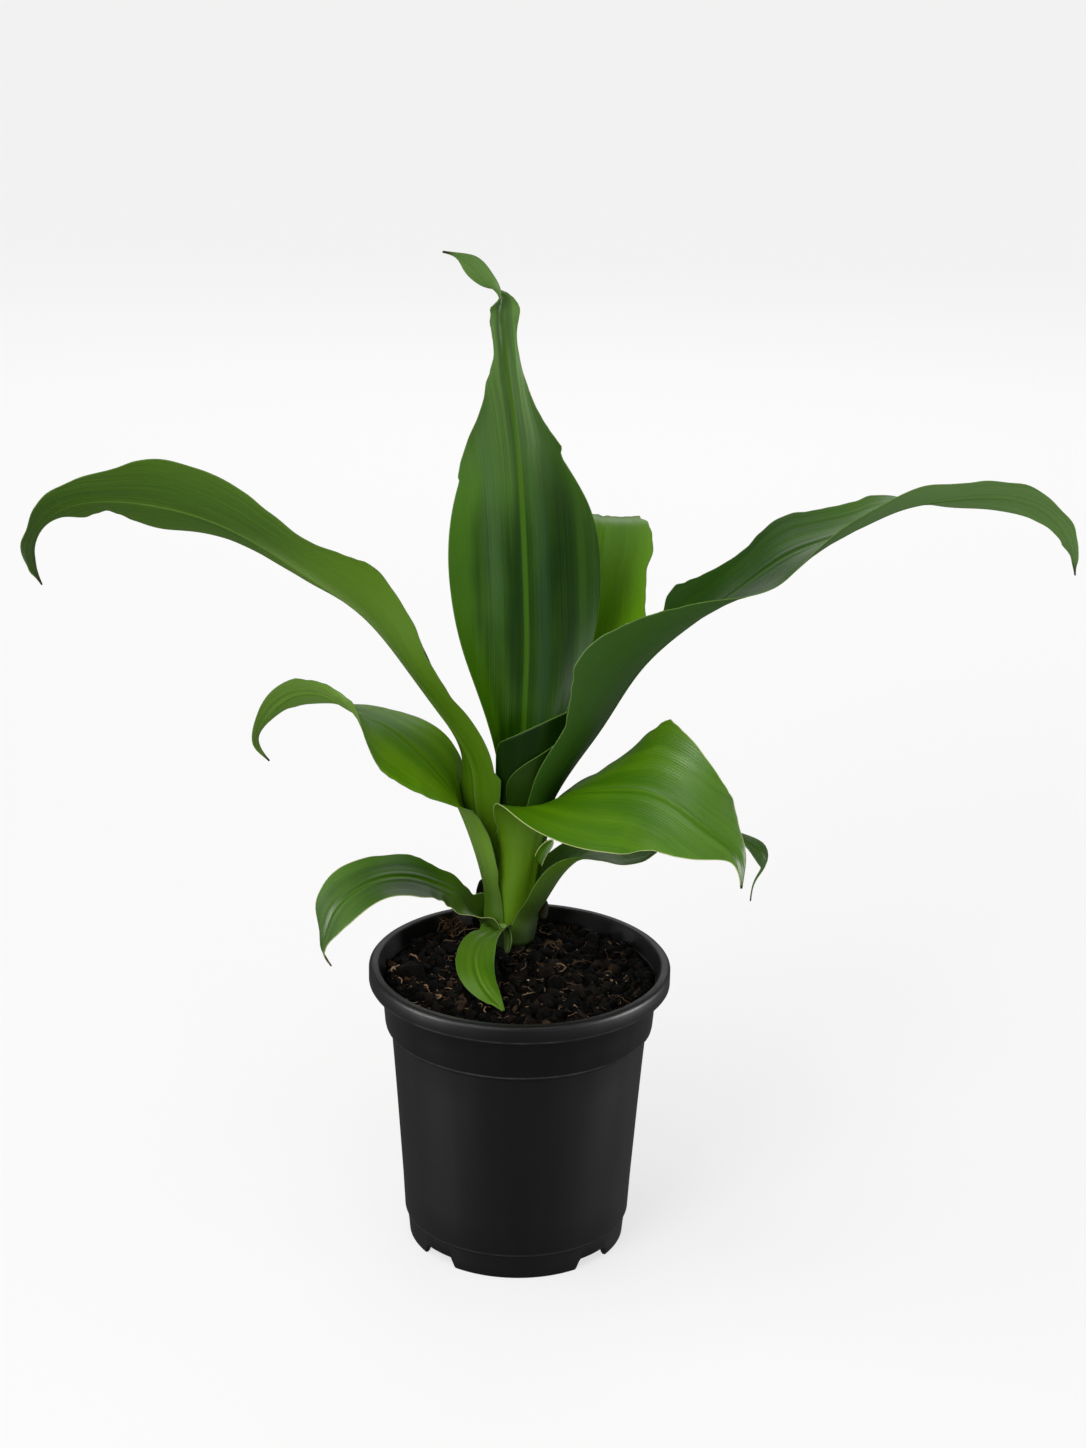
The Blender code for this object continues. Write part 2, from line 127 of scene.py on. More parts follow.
def ease(value, low, high):
    """Smooth step 3 t^2 - 2 t^3, with t from 0 at low to 1 at high."""
    t = np.clip((value - low) / (high - low), 0.0, 1.0)
    return t * t * (3.0 - 2.0 * t)


LATTICE = 64


def lattice_noise(x, y, seed):
    """Value noise: random numbers on a unit lattice, joined by smooth steps. About -1 to 1."""
    table = np.random.default_rng(seed).uniform(-1.0, 1.0, (LATTICE, LATTICE))
    i, j = np.floor(x).astype(int), np.floor(y).astype(int)
    u, v = ease(x - i, 0.0, 1.0), ease(y - j, 0.0, 1.0)
    i, j, after_i, after_j = (k % LATTICE for k in (i, j, i + 1, j + 1))
    a, b, c, d = table[i, j], table[after_i, j], table[i, after_j], table[after_i, after_j]
    return (a * (1 - u) + b * u) * (1 - v) + (c * (1 - u) + d * u) * v


def layered_noise(x, y, seed, layers=4):
    """Value noise added at doubling scales and halving heights."""
    return sum(0.5 ** k * lattice_noise(x * 2 ** k, y * 2 ** k, seed + k) for k in range(layers))


print("faces of a grid of 3 by 4 points:", len(grid_faces(3, 4)))


# %% [markdown]
# ## The camera
#
# The photograph looks down at the pot's rim by about 25 degrees from 1.4 metres away. The rim's
# ellipse gives the angle, and how much smaller the foot looks than the rim gives the distance.
# The lens follows from the image's long side, which is 36 mm on the sensor.

# %% Camera
CAMERA_PLACE = np.array([0.0, -1.2849, 0.7302])
CAMERA_PITCH = 20.26
CAMERA_YAW = -0.395
CAMERA_ROLL = 0.99
CAMERA_LENS = 75.5
SENSOR_SIDE = 36.0

camera_data = bpy.data.cameras.new("camera")
camera_data.lens = CAMERA_LENS
camera_data.sensor_width = SENSOR_SIDE
camera = bpy.data.objects.new("camera", camera_data)
bpy.context.collection.objects.link(camera)
turn = Matrix.Rotation(radians(CAMERA_YAW), 3, "Z")
turn = turn @ Matrix.Rotation(radians(90.0 - CAMERA_PITCH), 3, "X")
turn = turn @ Matrix.Rotation(radians(CAMERA_ROLL), 3, "Z")
camera.location = CAMERA_PLACE + POT_AXIS
camera.rotation_euler = turn.to_euler()
bpy.context.scene.camera = camera
print("camera at", [round(v, 3) for v in camera.location])


# %% [markdown]
# ## The light
#
# The photograph is a pale studio shot: white all round, with a broad soft light overhead that
# leaves only a faint shadow at the foot. A very wide sun stands for the white ceiling, and a
# softbox at the upper left models the leaves. Two upright strips beside the pot are seen only in
# reflections, where they draw the pot's edges. A narrow card in front puts a faint sheen on the
# pot, and a card behind brightens the rim and the leaves' backs.

# %% Lights
WORLD_LIGHT = 0.12
CEILING_LIGHT = 2.1
CEILING_SPREAD = 75.0


def area_light(name, place, aim, size, power, only_gloss=False):
    """Soft light in metres and watts, turned towards a point. size is its width and height."""
    data = bpy.data.lights.new(name, "AREA")
    data.shape = "RECTANGLE"
    data.size, data.size_y = size
    data.energy = power
    lamp = bpy.data.objects.new(name, data)
    bpy.context.collection.objects.link(lamp)
    lamp.location = Vector(place)
    lamp.rotation_euler = (Vector(aim) - Vector(place)).to_track_quat("-Z", "Y").to_euler()
    lamp.visible_diffuse = not only_gloss
    return lamp


world = bpy.data.worlds.new("studio")
world.use_nodes = True
background = world.node_tree.nodes["Background"]
background.inputs["Color"].default_value = (1.0, 1.0, 1.0, 1.0)
background.inputs["Strength"].default_value = WORLD_LIGHT
bpy.context.scene.world = world
bpy.context.scene.view_settings.view_transform = "Standard"

ceiling = bpy.data.lights.new("white_ceiling", "SUN")
ceiling.energy = CEILING_LIGHT
ceiling.angle = radians(CEILING_SPREAD)
ceiling_lamp = bpy.data.objects.new("white_ceiling", ceiling)
bpy.context.collection.objects.link(ceiling_lamp)
ceiling_lamp.rotation_euler = (radians(12.0), radians(-14.0), 0.0)
ceiling_lamp.visible_glossy = False
area_light("softbox", (-0.9, -1.4, 1.1), (0.0, 0.0, 0.25), (0.8, 0.8), 15.0)
area_light("left_strip", (-1.15, -0.45, 0.26), (0.0, 0.0, 0.1), (0.30, 0.5), 19.0, only_gloss=True)
area_light("right_strip", (1.2, -0.15, 0.26), (0.0, 0.0, 0.1), (0.28, 0.5), 24.0, only_gloss=True)
area_light("front_card", (0.66, -1.25, 0.30), (0.0, 0.0, 0.28), (0.25, 0.6), 1.4)
area_light("back_card", (0.1, 1.7, 1.05), (0.0, 0.0, 0.2), (1.6, 0.7), 7.0)

print("lights:", len(bpy.data.lights))


# %% [markdown]
# ## The paper
#
# The real backdrop is a roll of white paper, blown out by its own lights. A large flat sheet that
# glows by itself stays even from edge to edge and still takes the pot's faint shadow. It is kept
# out of reflections, where it would grey the black pot and the deep greens.

# %% Floor
PAPER_X = 9.0
PAPER_Y = 14.0
PAPER_GREY = 0.24
PAPER_GLOW = 0.71

corners = [(x * PAPER_X, y * PAPER_Y, 0.0) for x, y in ((-1, -1), (1, -1), (1, 1), (-1, 1))]
paper = bpy.data.meshes.new("paper")
paper.from_pydata(corners, [], [(0, 1, 2, 3)])
backdrop = bpy.data.objects.new("paper", paper)
bpy.context.collection.objects.link(backdrop)
backdrop.visible_glossy = False
paper_look = bpy.data.materials.new("white_paper")
paper_look.use_nodes = True
paper_shader = paper_look.node_tree.nodes["Principled BSDF"]
paper_shader.inputs["Base Color"].default_value = (PAPER_GREY, PAPER_GREY, PAPER_GREY, 1.0)
paper_shader.inputs["Roughness"].default_value = 1.0
paper_shader.inputs["Specular IOR Level"].default_value = 0.0
paper_shader.inputs["Emission Color"].default_value = (1.0, 0.99, 0.99, 1.0)
paper_shader.inputs["Emission Strength"].default_value = PAPER_GLOW
paper.materials.append(paper_look)
print("floor faces:", len(paper.polygons))


# %% [markdown]
# ## Building materials from small steps
#
# A material here is a chain of nodes. These helpers name the steps, so that a finish reads like a
# recipe: take the place on the leaf, make streaks along it, mix two greens by them.

# %% Material helpers
class Recipe:
    """A Principled material and short names for the nodes that feed it."""

    def __init__(self, name):
        self.material = bpy.data.materials.new(name)
        self.material.use_nodes = True
        self.tree = self.material.node_tree
        self.shader = self.tree.nodes["Principled BSDF"]

    def node(self, kind, **inputs):
        """A node with its input sockets set or linked."""
        made = self.tree.nodes.new(kind)
        for key, value in inputs.items():
            self.feed(made.inputs[key.replace("_", " ")], value)
        return made

    def feed(self, socket, value):
        """Link an output to a socket, or set the socket's number or colour."""
        if isinstance(value, bpy.types.NodeSocket):
            self.tree.links.new(value, socket)
        elif isinstance(value, tuple) and len(value) == 3 and socket.type == "RGBA":
            socket.default_value = (*value, 1.0)
        else:
            socket.default_value = value

    def attribute(self, key):
        """The x, y and z of a point attribute."""
        source = self.node("ShaderNodeAttribute")
        source.attribute_name = key
        split = self.node("ShaderNodeSeparateXYZ", Vector=source.outputs["Vector"])
        return split.outputs["X"], split.outputs["Y"], split.outputs["Z"]

    def object_place(self):
        """Object coordinates in metres."""
        return self.node("ShaderNodeTexCoord").outputs["Object"]

    def math(self, operation, a, b=0.0):
        """One Math node."""
        made = self.tree.nodes.new("ShaderNodeMath")
        made.operation = operation
        self.feed(made.inputs[0], a)
        self.feed(made.inputs[1], b)
        return made.outputs[0]

    def times(self, a, b):
        """Product of two outputs or numbers."""
        return self.math("MULTIPLY", a, b)

    def plus(self, total, *others):
        """Sum of outputs or numbers."""
        for other in others:
            total = self.math("ADD", total, other)
        return total

    def vector(self, x, y, z):
        """A vector from three numbers or outputs."""
        return self.node("ShaderNodeCombineXYZ", X=x, Y=y, Z=z).outputs[0]

    def noise(self, vector, scale, detail=2.0, rough=0.5):
        """Noise from 0 to 1."""
        made = self.node("ShaderNodeTexNoise", Vector=vector, Scale=scale, Detail=detail, Roughness=rough)
        return made.outputs["Fac"]

    def ramp(self, value, low, high, out_low=0.0, out_high=1.0):
        """Smooth change from out_low to out_high as value goes from low to high."""
        made = self.node("ShaderNodeMapRange")
        made.interpolation_type = "SMOOTHSTEP"
        for key, number in zip(("Value", "From Min", "From Max", "To Min", "To Max"),
                               (value, low, high, out_low, out_high)):
            self.feed(made.inputs[key], number)
        return made.outputs["Result"]

    def mix(self, share, a, b, blend="MIX"):
        """Mix of two colours."""
        made = self.tree.nodes.new("ShaderNodeMix")
        made.data_type = "RGBA"
        made.blend_type = blend
        self.feed(made.inputs["Factor"], share)
        for socket, value in zip([s for s in made.inputs if s.type == "RGBA"], (a, b)):
            self.feed(socket, value)
        return [s for s in made.outputs if s.type == "RGBA"][0]

    def bump(self, height, distance, strength=1.0):
        """Bump from a height, in metres."""
        made = self.node("ShaderNodeBump", Height=height, Distance=distance, Strength=strength)
        return made.outputs["Normal"]

    def finish(self, **inputs):
        """Feed the shader and return the material."""
        for key, value in inputs.items():
            self.feed(self.shader.inputs[key.replace("_", " ")], value)
        return self.material


print("recipe steps ready")


# %% [markdown]
# ## How a leaf is shaped
#
# A corn plant's leaf starts as a sheath that wraps the stem, and opens into a long blade that
# arches under its own weight. One list of stations along the midrib says it all: where the midrib
# is, how the blade is rolled round it, half its width, and how steeply its margins stand up. A
# smooth curve through the stations gives the same form as the CAD solid at any fineness.
#
# The blade's section is an arc on each side of the midrib. On top of it come the details that
# make it a leaf: the pleats and the channel along the midrib, and margins that wave where the
# blade grew faster at its edge than in its middle.

# %% Sheath round the stem
STEM_BASE = (-6.5, 37.0, 132.0)
STEM_TOP = (1.5, 38.5, 205.0)
SHEATH_FLARE = 0.005
FLARE_HEIGHT = 155.0


def on_stem_axis(height):
    """The leaning stem's centre line, straight through its two named points."""
    share = (height - STEM_BASE[2]) / (STEM_TOP[2] - STEM_BASE[2])
    return [STEM_BASE[i] + share * (STEM_TOP[i] - STEM_BASE[i]) for i in range(2)]


def sheath_stations(heading, radius, facing, bottom, top, wrap_bottom, wrap_top):
    """An arc round the stem whose radius grows with height, as three stations."""
    rows = []
    for share in (0.0, 0.5, 1.0):
        height = bottom + share * (top - bottom)
        wrap = wrap_bottom + share * (wrap_top - wrap_bottom)
        reach = radius * (1 + SHEATH_FLARE * (height - FLARE_HEIGHT))
        x, y = on_stem_axis(height)
        rows.append((x + reach * cos(radians(facing)), y + reach * sin(radians(facing)), height,
                     heading - facing, reach * radians(wrap), wrap))
    return rows


print("the stem's top leans to", on_stem_axis(STEM_TOP[2]))

# %% Spline through the stations
def smooth_through(stations, steps):
    """Natural cubic spline through the stations by distance: values, directions and distances."""
    rows = np.array(stations, float)
    span = np.linalg.norm(np.diff(rows[:, :3], axis=0), axis=1)
    at = np.concatenate([[0.0], np.cumsum(span)])
    count = len(rows)
    system = np.eye(count)
    right = np.zeros_like(rows)
    for i in range(1, count - 1):
        system[i, i - 1:i + 2] = span[i - 1], 2 * (span[i - 1] + span[i]), span[i]
        right[i] = 6 * ((rows[i + 1] - rows[i]) / span[i] - (rows[i] - rows[i - 1]) / span[i - 1])
    bend = np.linalg.solve(system, right)
    place = np.linspace(0.0, at[-1], steps + 1)
    k = np.clip(np.searchsorted(at, place, side="right") - 1, 0, count - 2)
    gap = span[k][:, None]
    a = (at[k + 1] - place)[:, None] / gap
    b = 1 - a
    value = a * rows[k] + b * rows[k + 1]
    value += ((a ** 3 - a) * bend[k] + (b ** 3 - b) * bend[k + 1]) * gap ** 2 / 6
    slope = (rows[k + 1] - rows[k]) / gap
    slope += (-(3 * a ** 2 - 1) * bend[k] + (3 * b ** 2 - 1) * bend[k + 1]) * gap / 6
    along = slope[:, :3] / np.linalg.norm(slope[:, :3], axis=1)[:, None]
    return value, along, place


print("spline ready, at distances", smooth_through([(0, 0, 0), (0, 3, 4)], 2)[2])


# %% [markdown]
# ## The blade's middle surface
#
# The grid has a row every 1.7 mm of the midrib, and columns that crowd towards the margins, where
# the blade curls and waves most. A margin's table moves it without moving the midrib, so the
# outline can follow the real leaf while the blade stays smooth inside.

# %% Margins of a blade
PERCENT = 0.01
FULL_WIDTH = 16.0
WAVE_GAIN = 1.6


def eased_between(table, share):
    """Value of a table of (percent, value) rows, joined by smooth steps, and 0 outside it."""
    at, value = np.array([(-100, 0), *table, (200, 0)], float).T
    at = at / 100
    at[0], at[-1] = at[1] - PERCENT, at[-2] + PERCENT
    k = np.clip(np.searchsorted(at, share, side="right") - 1, 0, len(at) - 2)
    step = ease((share - at[k]) / (at[k + 1] - at[k]), 0.0, 1.0)
    return value[k] + (value[k + 1] - value[k]) * step


def ripples(leaf, share, place, t, width):
    """Waves of the margins: strongest at the edge, fading at the sheath and at the tip.

    Slow noise along the leaf, times t^4, times the ripple's height. A blade narrower than the
    full width waves less.
    """
    height, length, seed = leaf["ripple"]
    fade = (ease(share, 0.22, 0.42) * (1 - ease(share, 0.93, 1.0)))[:, None]
    height = height * np.minimum(width / FULL_WIDTH, 1.0) * fade
    left, right = (layered_noise(place / length, place * 0 + row, seed, 2)[:, None] for row in (0.0, 7.3))
    return height * np.abs(t) ** 4 * np.where(t < 0, left, right) * WAVE_GAIN


print("a margin's table at 25 %:", eased_between([(20, 0), (30, 2)], np.array([0.25])))

# %% Blade surface
ROW_LENGTH = 1.7
COLUMNS = 56
EDGE_CROWDING = 0.45
LEAST_HALF_WIDTH = 0.4
MARGIN_POWER = 1.6


def leaf_surface(leaf):
    """Middle surface of a leaf and its own coordinates, on a grid of rows and columns.

    With t from -1 to 1 across, c the cup angle and w the half width, each side of the section
    runs w sin(c t) / c outwards and w (1 - cos(c t)) / c upwards. Margins then move along the
    surface's normal by ripple height * t^4 * a slow wave along the leaf, and along the section
    by the leaf's own table, times |t|^1.6.
    """
    stations = sheath_stations(leaf["heading"], *leaf["sheath"]) + leaf["blade"]
    chord = np.linalg.norm(np.diff(np.array(stations)[:, :3], axis=0), axis=1).sum()
    rows = int(chord / ROW_LENGTH)
    value, along, place = smooth_through(stations, rows)
    heading = radians(leaf["heading"])
    level = np.array([sin(heading), -cos(heading), 0.0])
    right = level - along * (along @ level)[:, None]
    right /= np.linalg.norm(right, axis=1)[:, None]
    up = np.cross(right, along)
    roll = np.radians(value[:, 3])[:, None]
    right, up = right * np.cos(roll) + up * np.sin(roll), up * np.cos(roll) - right * np.sin(roll)
    t = np.sin(np.linspace(-pi / 2, pi / 2, COLUMNS + 1))
    t = (1 - EDGE_CROWDING) * np.linspace(-1.0, 1.0, COLUMNS + 1) + EDGE_CROWDING * t
    share = place / place[-1]
    width = np.maximum(value[:, 4], LEAST_HALF_WIDTH)[:, None]
    angle = np.radians(value[:, 5])[:, None] * np.abs(t)
    out = width * t * np.sinc(angle / pi)
    lift = width * np.abs(t) * np.sin(angle / 2) * np.sinc(angle / (2 * pi))
    lift += ripples(leaf, share, place, t, width)
    for side, key in ((-1, "left"), (1, "right")):
        near = np.where(t * side > 0, np.abs(t), 0.0) ** MARGIN_POWER
        moved = eased_between(leaf.get(key, []), share)[:, None] * near
        out += side * moved * np.cos(angle)
        lift += moved * np.sin(angle)
        lift += eased_between(leaf.get(key + "_lift", []), share)[:, None] * near
    surface = value[:, None, :3] + out[..., None] * right[:, None] + lift[..., None] * up[:, None]
    across = width * t
    return surface, across, np.broadcast_to(share[:, None], across.shape)


print("columns across a blade:", COLUMNS + 1)


# %% [markdown]
# ## From a surface to a closed blade
#
# A leaf has no thick edge: it is less than a millimetre thick and thinner still at the margin.
# Two copies of the grid, moved apart along the surface's normal, and a strip round the rim make
# one closed shape. The upper copy has the midrib's channel and the lower one its keel, so the two
# sides differ as on a living leaf, which a Solidify modifier would not give.

# %% Closed blades
BLADE_THICKNESS = 0.7
RIM_THICKNESS = 0.28
PLEAT_SPACING = 7.0


def leaf_relief(across, share, width_share, leaf):
    """Height of the upper side over the middle surface: pleats, and a channel at the midrib.

    Pleats are a cosine across the blade, the shoulders beside the midrib and its channel are
    bells exp(-(x / width)^2). All fade towards the margin, the sheath and the tip.
    """
    fade = ease(share, 0.12, 0.3) * (1 - ease(share, 0.9, 1.0))
    pleats = leaf["pleat"] * np.cos(2 * pi * across / PLEAT_SPACING + 0.6 * np.sin(across)) * fade
    channel = 0.55 * np.exp(-(across / 1.1) ** 2) * (1 - ease(share, 0.85, 1.0))
    shoulder = 0.35 * np.exp(-((np.abs(across) - 2.6) / 1.3) ** 2) * fade
    return (pleats + shoulder) * (1 - width_share ** 6), channel


def shell_faces(rows, columns):
    """Quads of an upper grid, of the same grid below it, and of the rim that joins them."""
    under = rows * columns
    upper = grid_faces(rows, columns)
    lower = upper[:, ::-1] + under
    index = np.arange(under).reshape(rows, columns)
    rim = np.concatenate([index[0, :-1], index[:-1, -1], index[-1, :0:-1], index[:0:-1, 0]])
    after = np.roll(rim, -1)
    edge = np.stack([rim, rim + under, after + under, after], axis=-1)
    return np.concatenate([upper, lower, edge])


def surface_normal(surface):
    """Unit normals of a grid: the cross product of its steps across and along."""
    normal = np.cross(np.gradient(surface, axis=1), np.gradient(surface, axis=0))
    return normal / np.linalg.norm(normal, axis=2)[..., None]


def shell_between(top, bottom, across, along, margin, share, half):
    """Points, faces and attributes of the closed shape between an upper and a lower grid.

    blade_place holds mm across, mm along and +1 above or -1 below. blade_share holds mm from the
    margin, the share of the length and the share of the half width.
    """
    ones = np.ones_like(across)
    place = np.stack([across, along * ones, ones], axis=-1).reshape(-1, 3)
    shares = np.stack([margin, share * ones, half * ones], axis=-1).reshape(-1, 3)
    attributes = {"blade_place": np.concatenate([place, place * np.array([1.0, 1.0, -1.0])]),
                  "blade_share": np.concatenate([shares, shares])}
    points = np.concatenate([top.reshape(-1, 3), bottom.reshape(-1, 3)])
    return points, shell_faces(*across.shape), attributes


def thin_shell(surface, across, along, margin, thickness=0.5):
    """Closed blade of even thickness round a grid of middle points."""
    offset = surface_normal(surface) * thickness / 2
    return shell_between(surface + offset, surface - offset, across, along, margin, share=0.3, half=0.0)


def leaf_shell(leaf):
    """Closed blade of a leaf.

    Its two sides lie half the thickness from the middle surface. The thickness falls towards
    the margins as 1 - t^6. The midrib is a channel above and a keel below.
    """
    surface, across, share = leaf_surface(leaf)
    normal = surface_normal(surface)
    half_width = np.abs(across[:, :1])
    width_share = np.abs(across) / half_width
    relief, channel = leaf_relief(across, share, width_share, leaf)
    half = RIM_THICKNESS / 2 + (BLADE_THICKNESS - RIM_THICKNESS) / 2 * (1 - width_share ** 6)
    slim = ease(half_width, 0.4, 4.0)
    top = surface + normal * (half + (relief - channel) * slim)[..., None]
    bottom = surface - normal * (half - relief * slim + 1.3 * channel * slim)[..., None]
    return shell_between(top, bottom, across, share * leaf["length"], half_width - np.abs(across),
                         share, across / half_width)


print("a shell of 3 by 4 points has", len(shell_faces(3, 4)), "faces")


# %% [markdown]
# ## The nine leaves
#
# Each leaf keeps the stations of its CAD solid: x, y and z of the midrib in mm, the blade's roll
# in degrees, its half width in mm and its cup angle in degrees. The sheath's numbers are its
# radius, the way it faces, its bottom and top, and how far it wraps there.
#
# The leaf's own numbers follow: how strong its pleats are, how its margins wave, and by how many
# millimetres each margin bulges outwards or lifts, read off the photograph. A margin's table has
# rows of percent of the length and millimetres.

# %% Upright leaf and back leaf
LEAVES = {}
LEAVES["leaf_upright"] = {
    "heading": 90, "sheath": (4.9, 90, 168, 193, 95, 95), "length": 340,
    "pleat": 0.09, "ripple": (0.8, 34, 3),
    "left": [(62, 1.5), (64.5, 2.4), (68, 2.8), (71, 2), (73.5, 1.9), (76, 2.6), (77.5, 1.2),
             (80, -0.4), (82.5, -0.6), (84.5, -1.2), (86, -2.6), (87.5, -1), (88.5, 0)],
    "right": [(64, 0), (65, 1.6), (66, 6), (67.2, 5), (68.5, 2.8), (70, 0.4), (72, -1.6), (73.5, -1.8),
              (76, -1.2), (80, 0), (85.5, 0.2), (86.8, 0.7), (88, 0.6), (89, 0)],
    "blade": [
        (0.5, 44.5, 208, 0, 12.5, 78),
        (0, 46, 230, 0, 17, 66),
        (1, 49, 268, 0, 29, 36),
        (0, 53, 306, 0, 35.5, 20),
        (-2, 57, 342, 8, 32.5, 24),
        (-4.5, 61, 371, 20, 22, 40),
        (-8, 63, 396, 10, 10.5, 44),
        (-10.5, 63, 412, 0, 6, 24),
        (-12, 62, 424, -6, 6.6, 10),
        (-12.5, 61.5, 432.5, -15, 7.4, 8),
        (-13.5, 61, 438.5, -85, 4.6, 10),
        (-17, 60, 442.5, -150, 4, 14),
        (-21.5, 58.5, 447.5, -182, 4.6, 12),
        (-27, 57, 453.5, -190, 4.2, 8),
        (-32, 55.5, 457, -182, 1.8, 4),
        (-39, 54, 459, -176, 0.6, 0),
    ],
}
LEAVES["leaf_back"] = {
    "heading": 68, "sheath": (6.6, 15, 160, 192, 150, 150), "length": 320,
    "pleat": 0.1, "ripple": (1, 30, 5),
    "right": [(42, 0), (45, 3), (47.5, 4.5), (50, 1.5), (52.5, 0), (55, -1.2), (57.5, 1), (60, -0.5),
              (62.5, -3), (65, -7), (70, -6.5), (75, -4), (80, 0)],
    "blade": [
        (11, 43, 207, 48, 31, 150),
        (14, 49, 222, 38, 24, 84),
        (17, 57, 240, 16, 25, 50),
        (25, 68, 266, 0, 28, 40),
        (33, 85, 299, 4, 28.5, 14),
        (36, 105, 318, 3, 26, 10),
        (37, 128, 316, 0, 22, 8),
        (37, 148, 299, 0, 16, 8),
        (36, 160, 274, 0, 9, 8),
        (35, 164, 250, 0, 0.6, 0),
    ],
}
print("leaves so far:", len(LEAVES))

# %% Long right leaf
LEAVES["leaf_right"] = {
    "heading": -3, "sheath": (7.8, -3, 152, 190, 100, 88), "length": 390,
    "pleat": 0.06, "ripple": (1.2, 36, 7),
    "left": [(40, 0), (42, 3.4), (44, 2.8), (46, -0.8), (48, -3), (50, -3.5), (52, -3), (54, -1.8),
             (56, 1.5), (58, 3.3), (60, 2.8), (62, 0.4), (64, -0.4), (66, -1.2), (68, -1), (70, 2.4),
             (72, 3), (74, 2), (77, 0), (80, -1.3), (83, 0), (90, 0.3), (91.5, 0.8), (93.5, -0.4),
             (95.5, -0.2), (96.5, 2), (97.8, -0.8), (99, 1.3)],
    "right": [(26, 0), (28, 1.5), (30, 2.6), (32, 4.7), (34, 7.8), (36, 8), (38, 7.5), (40, 6), (42, 5),
              (44, 3.5), (46, 1), (48, 0), (77, 0), (80, -1.8), (82, -1.4), (84, 0.1), (86, -0.5),
              (88, 1.5), (90, 0.8), (92, 0), (94, 1.5), (95.5, 0.2), (96.5, 0.5), (98, 1.4), (99, 0.3)],
    "blade": [
        (17.5, 39, 211, 5, 20, 82),
        (36, 35, 242, 12, 26, 62),
        (54, 29, 274, 22, 31, 55),
        (75, 25, 296, 8, 32, 50),
        (98, 25, 314, -4, 30, 22),
        (120, 22, 331.5, -10, 29, 12),
        (143, 18, 342.5, 4, 27, 30),
        (167, 14, 355.5, 18, 25, 20),
        (191, 11, 361, 32, 20, 12),
        (215, 8, 362, 40, 16, 5),
        (232, 6, 355, 40, 10, 5),
        (241, 4, 343, 28, 6, 3),
        (244, 3, 329, 0, 0.6, 0),
    ],
}
print("leaves so far:", len(LEAVES))

# %% Long left leaf
LEAVES["leaf_left"] = {
    "heading": 183, "sheath": (9.5, 183, 140, 168, 94, 84), "length": 400,
    "pleat": 0.09, "ripple": (1.2, 34, 12),
    "left": [(22, -3), (30, -2.7), (33, -3), (36, -2), (40, -1), (42, 0.5), (44, 1.5), (46, 1.2),
             (48, 1.5), (51, 3.2), (52.5, 3.2), (54, 1.9), (56, 0.9), (60, -1), (63, -2.1), (66, -1.8),
             (69, 0), (74, 0.8), (77.5, 1.4), (80, 1.1), (82, -0.2), (85, 0.3), (87, -0.3), (89, 1.4),
             (90.5, 1.2), (92.8, -0.8), (94.5, 1), (97, -0.5), (98, 0.9), (99, 0)],
    "right": [(10, 0), (14.5, 2.5), (22, 3), (27, 1), (30, 0), (62, 0), (64, -0.6), (68, -2),
              (71, -1.6), (74, -0.6), (78, 0), (80, -1.3), (82, -3), (83.5, -4.5), (85, -3.2),
              (86.5, -1.6), (88.5, 0), (95.5, 0), (97, 1.3), (98.5, 0.5)],
    "right_lift": [(80, 0), (82, 1.5), (83.5, 2.8), (85, 1.5), (87, 0)],
    "blade": [
        (-14, 38, 180, -22, 13, 48),
        (-19.5, 37.5, 193, -40, 12, 28),
        (-23, 36.5, 219, -38, 15, 40),
        (-38.2, 35, 247.5, -20, 19, 58),
        (-55, 31, 273, -8, 24, 60),
        (-75, 29, 298, -22, 29, 62),
        (-94, 27, 312.5, -31, 31.5, 40),
        (-119, 23, 331, -33, 32, 24),
        (-145, 19, 345, -41, 32.5, 24),
        (-167, 17, 351, -45, 30.5, 22),
        (-188, 15.5, 353, -38, 25.5, 18),
        (-205, 14, 350, -36, 19, 12),
        (-217, 13, 341, -24, 11.5, 14),
        (-221, 11.5, 328, -16, 6.5, 12),
        (-216, 10, 315, 0, 0.6, 0),
    ],
}
print("leaves so far:", len(LEAVES))

# %% Middle left leaf and front right leaf
LEAVES["leaf_mid_left"] = {
    "heading": 188, "sheath": (12.2, 188, 133, 153, 76, 62), "length": 240,
    "pleat": 0.1, "ripple": (0.8, 26, 14),
    "left": [(15, 0), (19, 1.8), (26, 2.2), (31, 1), (34, 0), (36, 3), (39, 5), (42, 3.7), (45, 2.7),
             (48, 1.3), (51, 1), (54, 1.8), (57, 3.5), (60, 5), (63, 6), (66, 5.5), (68, 4), (70, 1),
             (72, -7), (74, -8), (76, -6), (78.5, -3.5), (81, 0)],
    "right": [(24, 0), (30, 2.5), (37, 2.5), (42, 0), (50, -0.3), (54, -1.2), (58, -3), (62, -6),
              (64, -6), (66, -5), (68, -2.5), (70, 0), (82, 0), (86, -1.5), (90, -1), (93, 0)],
    "left_lift": [(34, 0), (39, -2.5), (44, -1.5), (48, 0)],
    "blade": [
        (-18, 34.5, 167, 0, 12.5, 55),
        (-25.5, 33.5, 192, -12, 14.5, 32),
        (-35, 32, 213, 10, 24, 25),
        (-50, 29.5, 231, 17, 29, -5),
        (-65, 26.5, 244, 8, 27, -20),
        (-79, 24, 252.5, -10, 22, -5),
        (-93, 22, 260.5, -40, 16, 12),
        (-107, 19, 260, -50, 12.5, 12),
        (-118, 17, 250, -40, 8, 10),
        (-122, 15, 240, -17, 5, 10),
        (-116, 13.5, 231, 0, 0.6, 0),
    ],
}
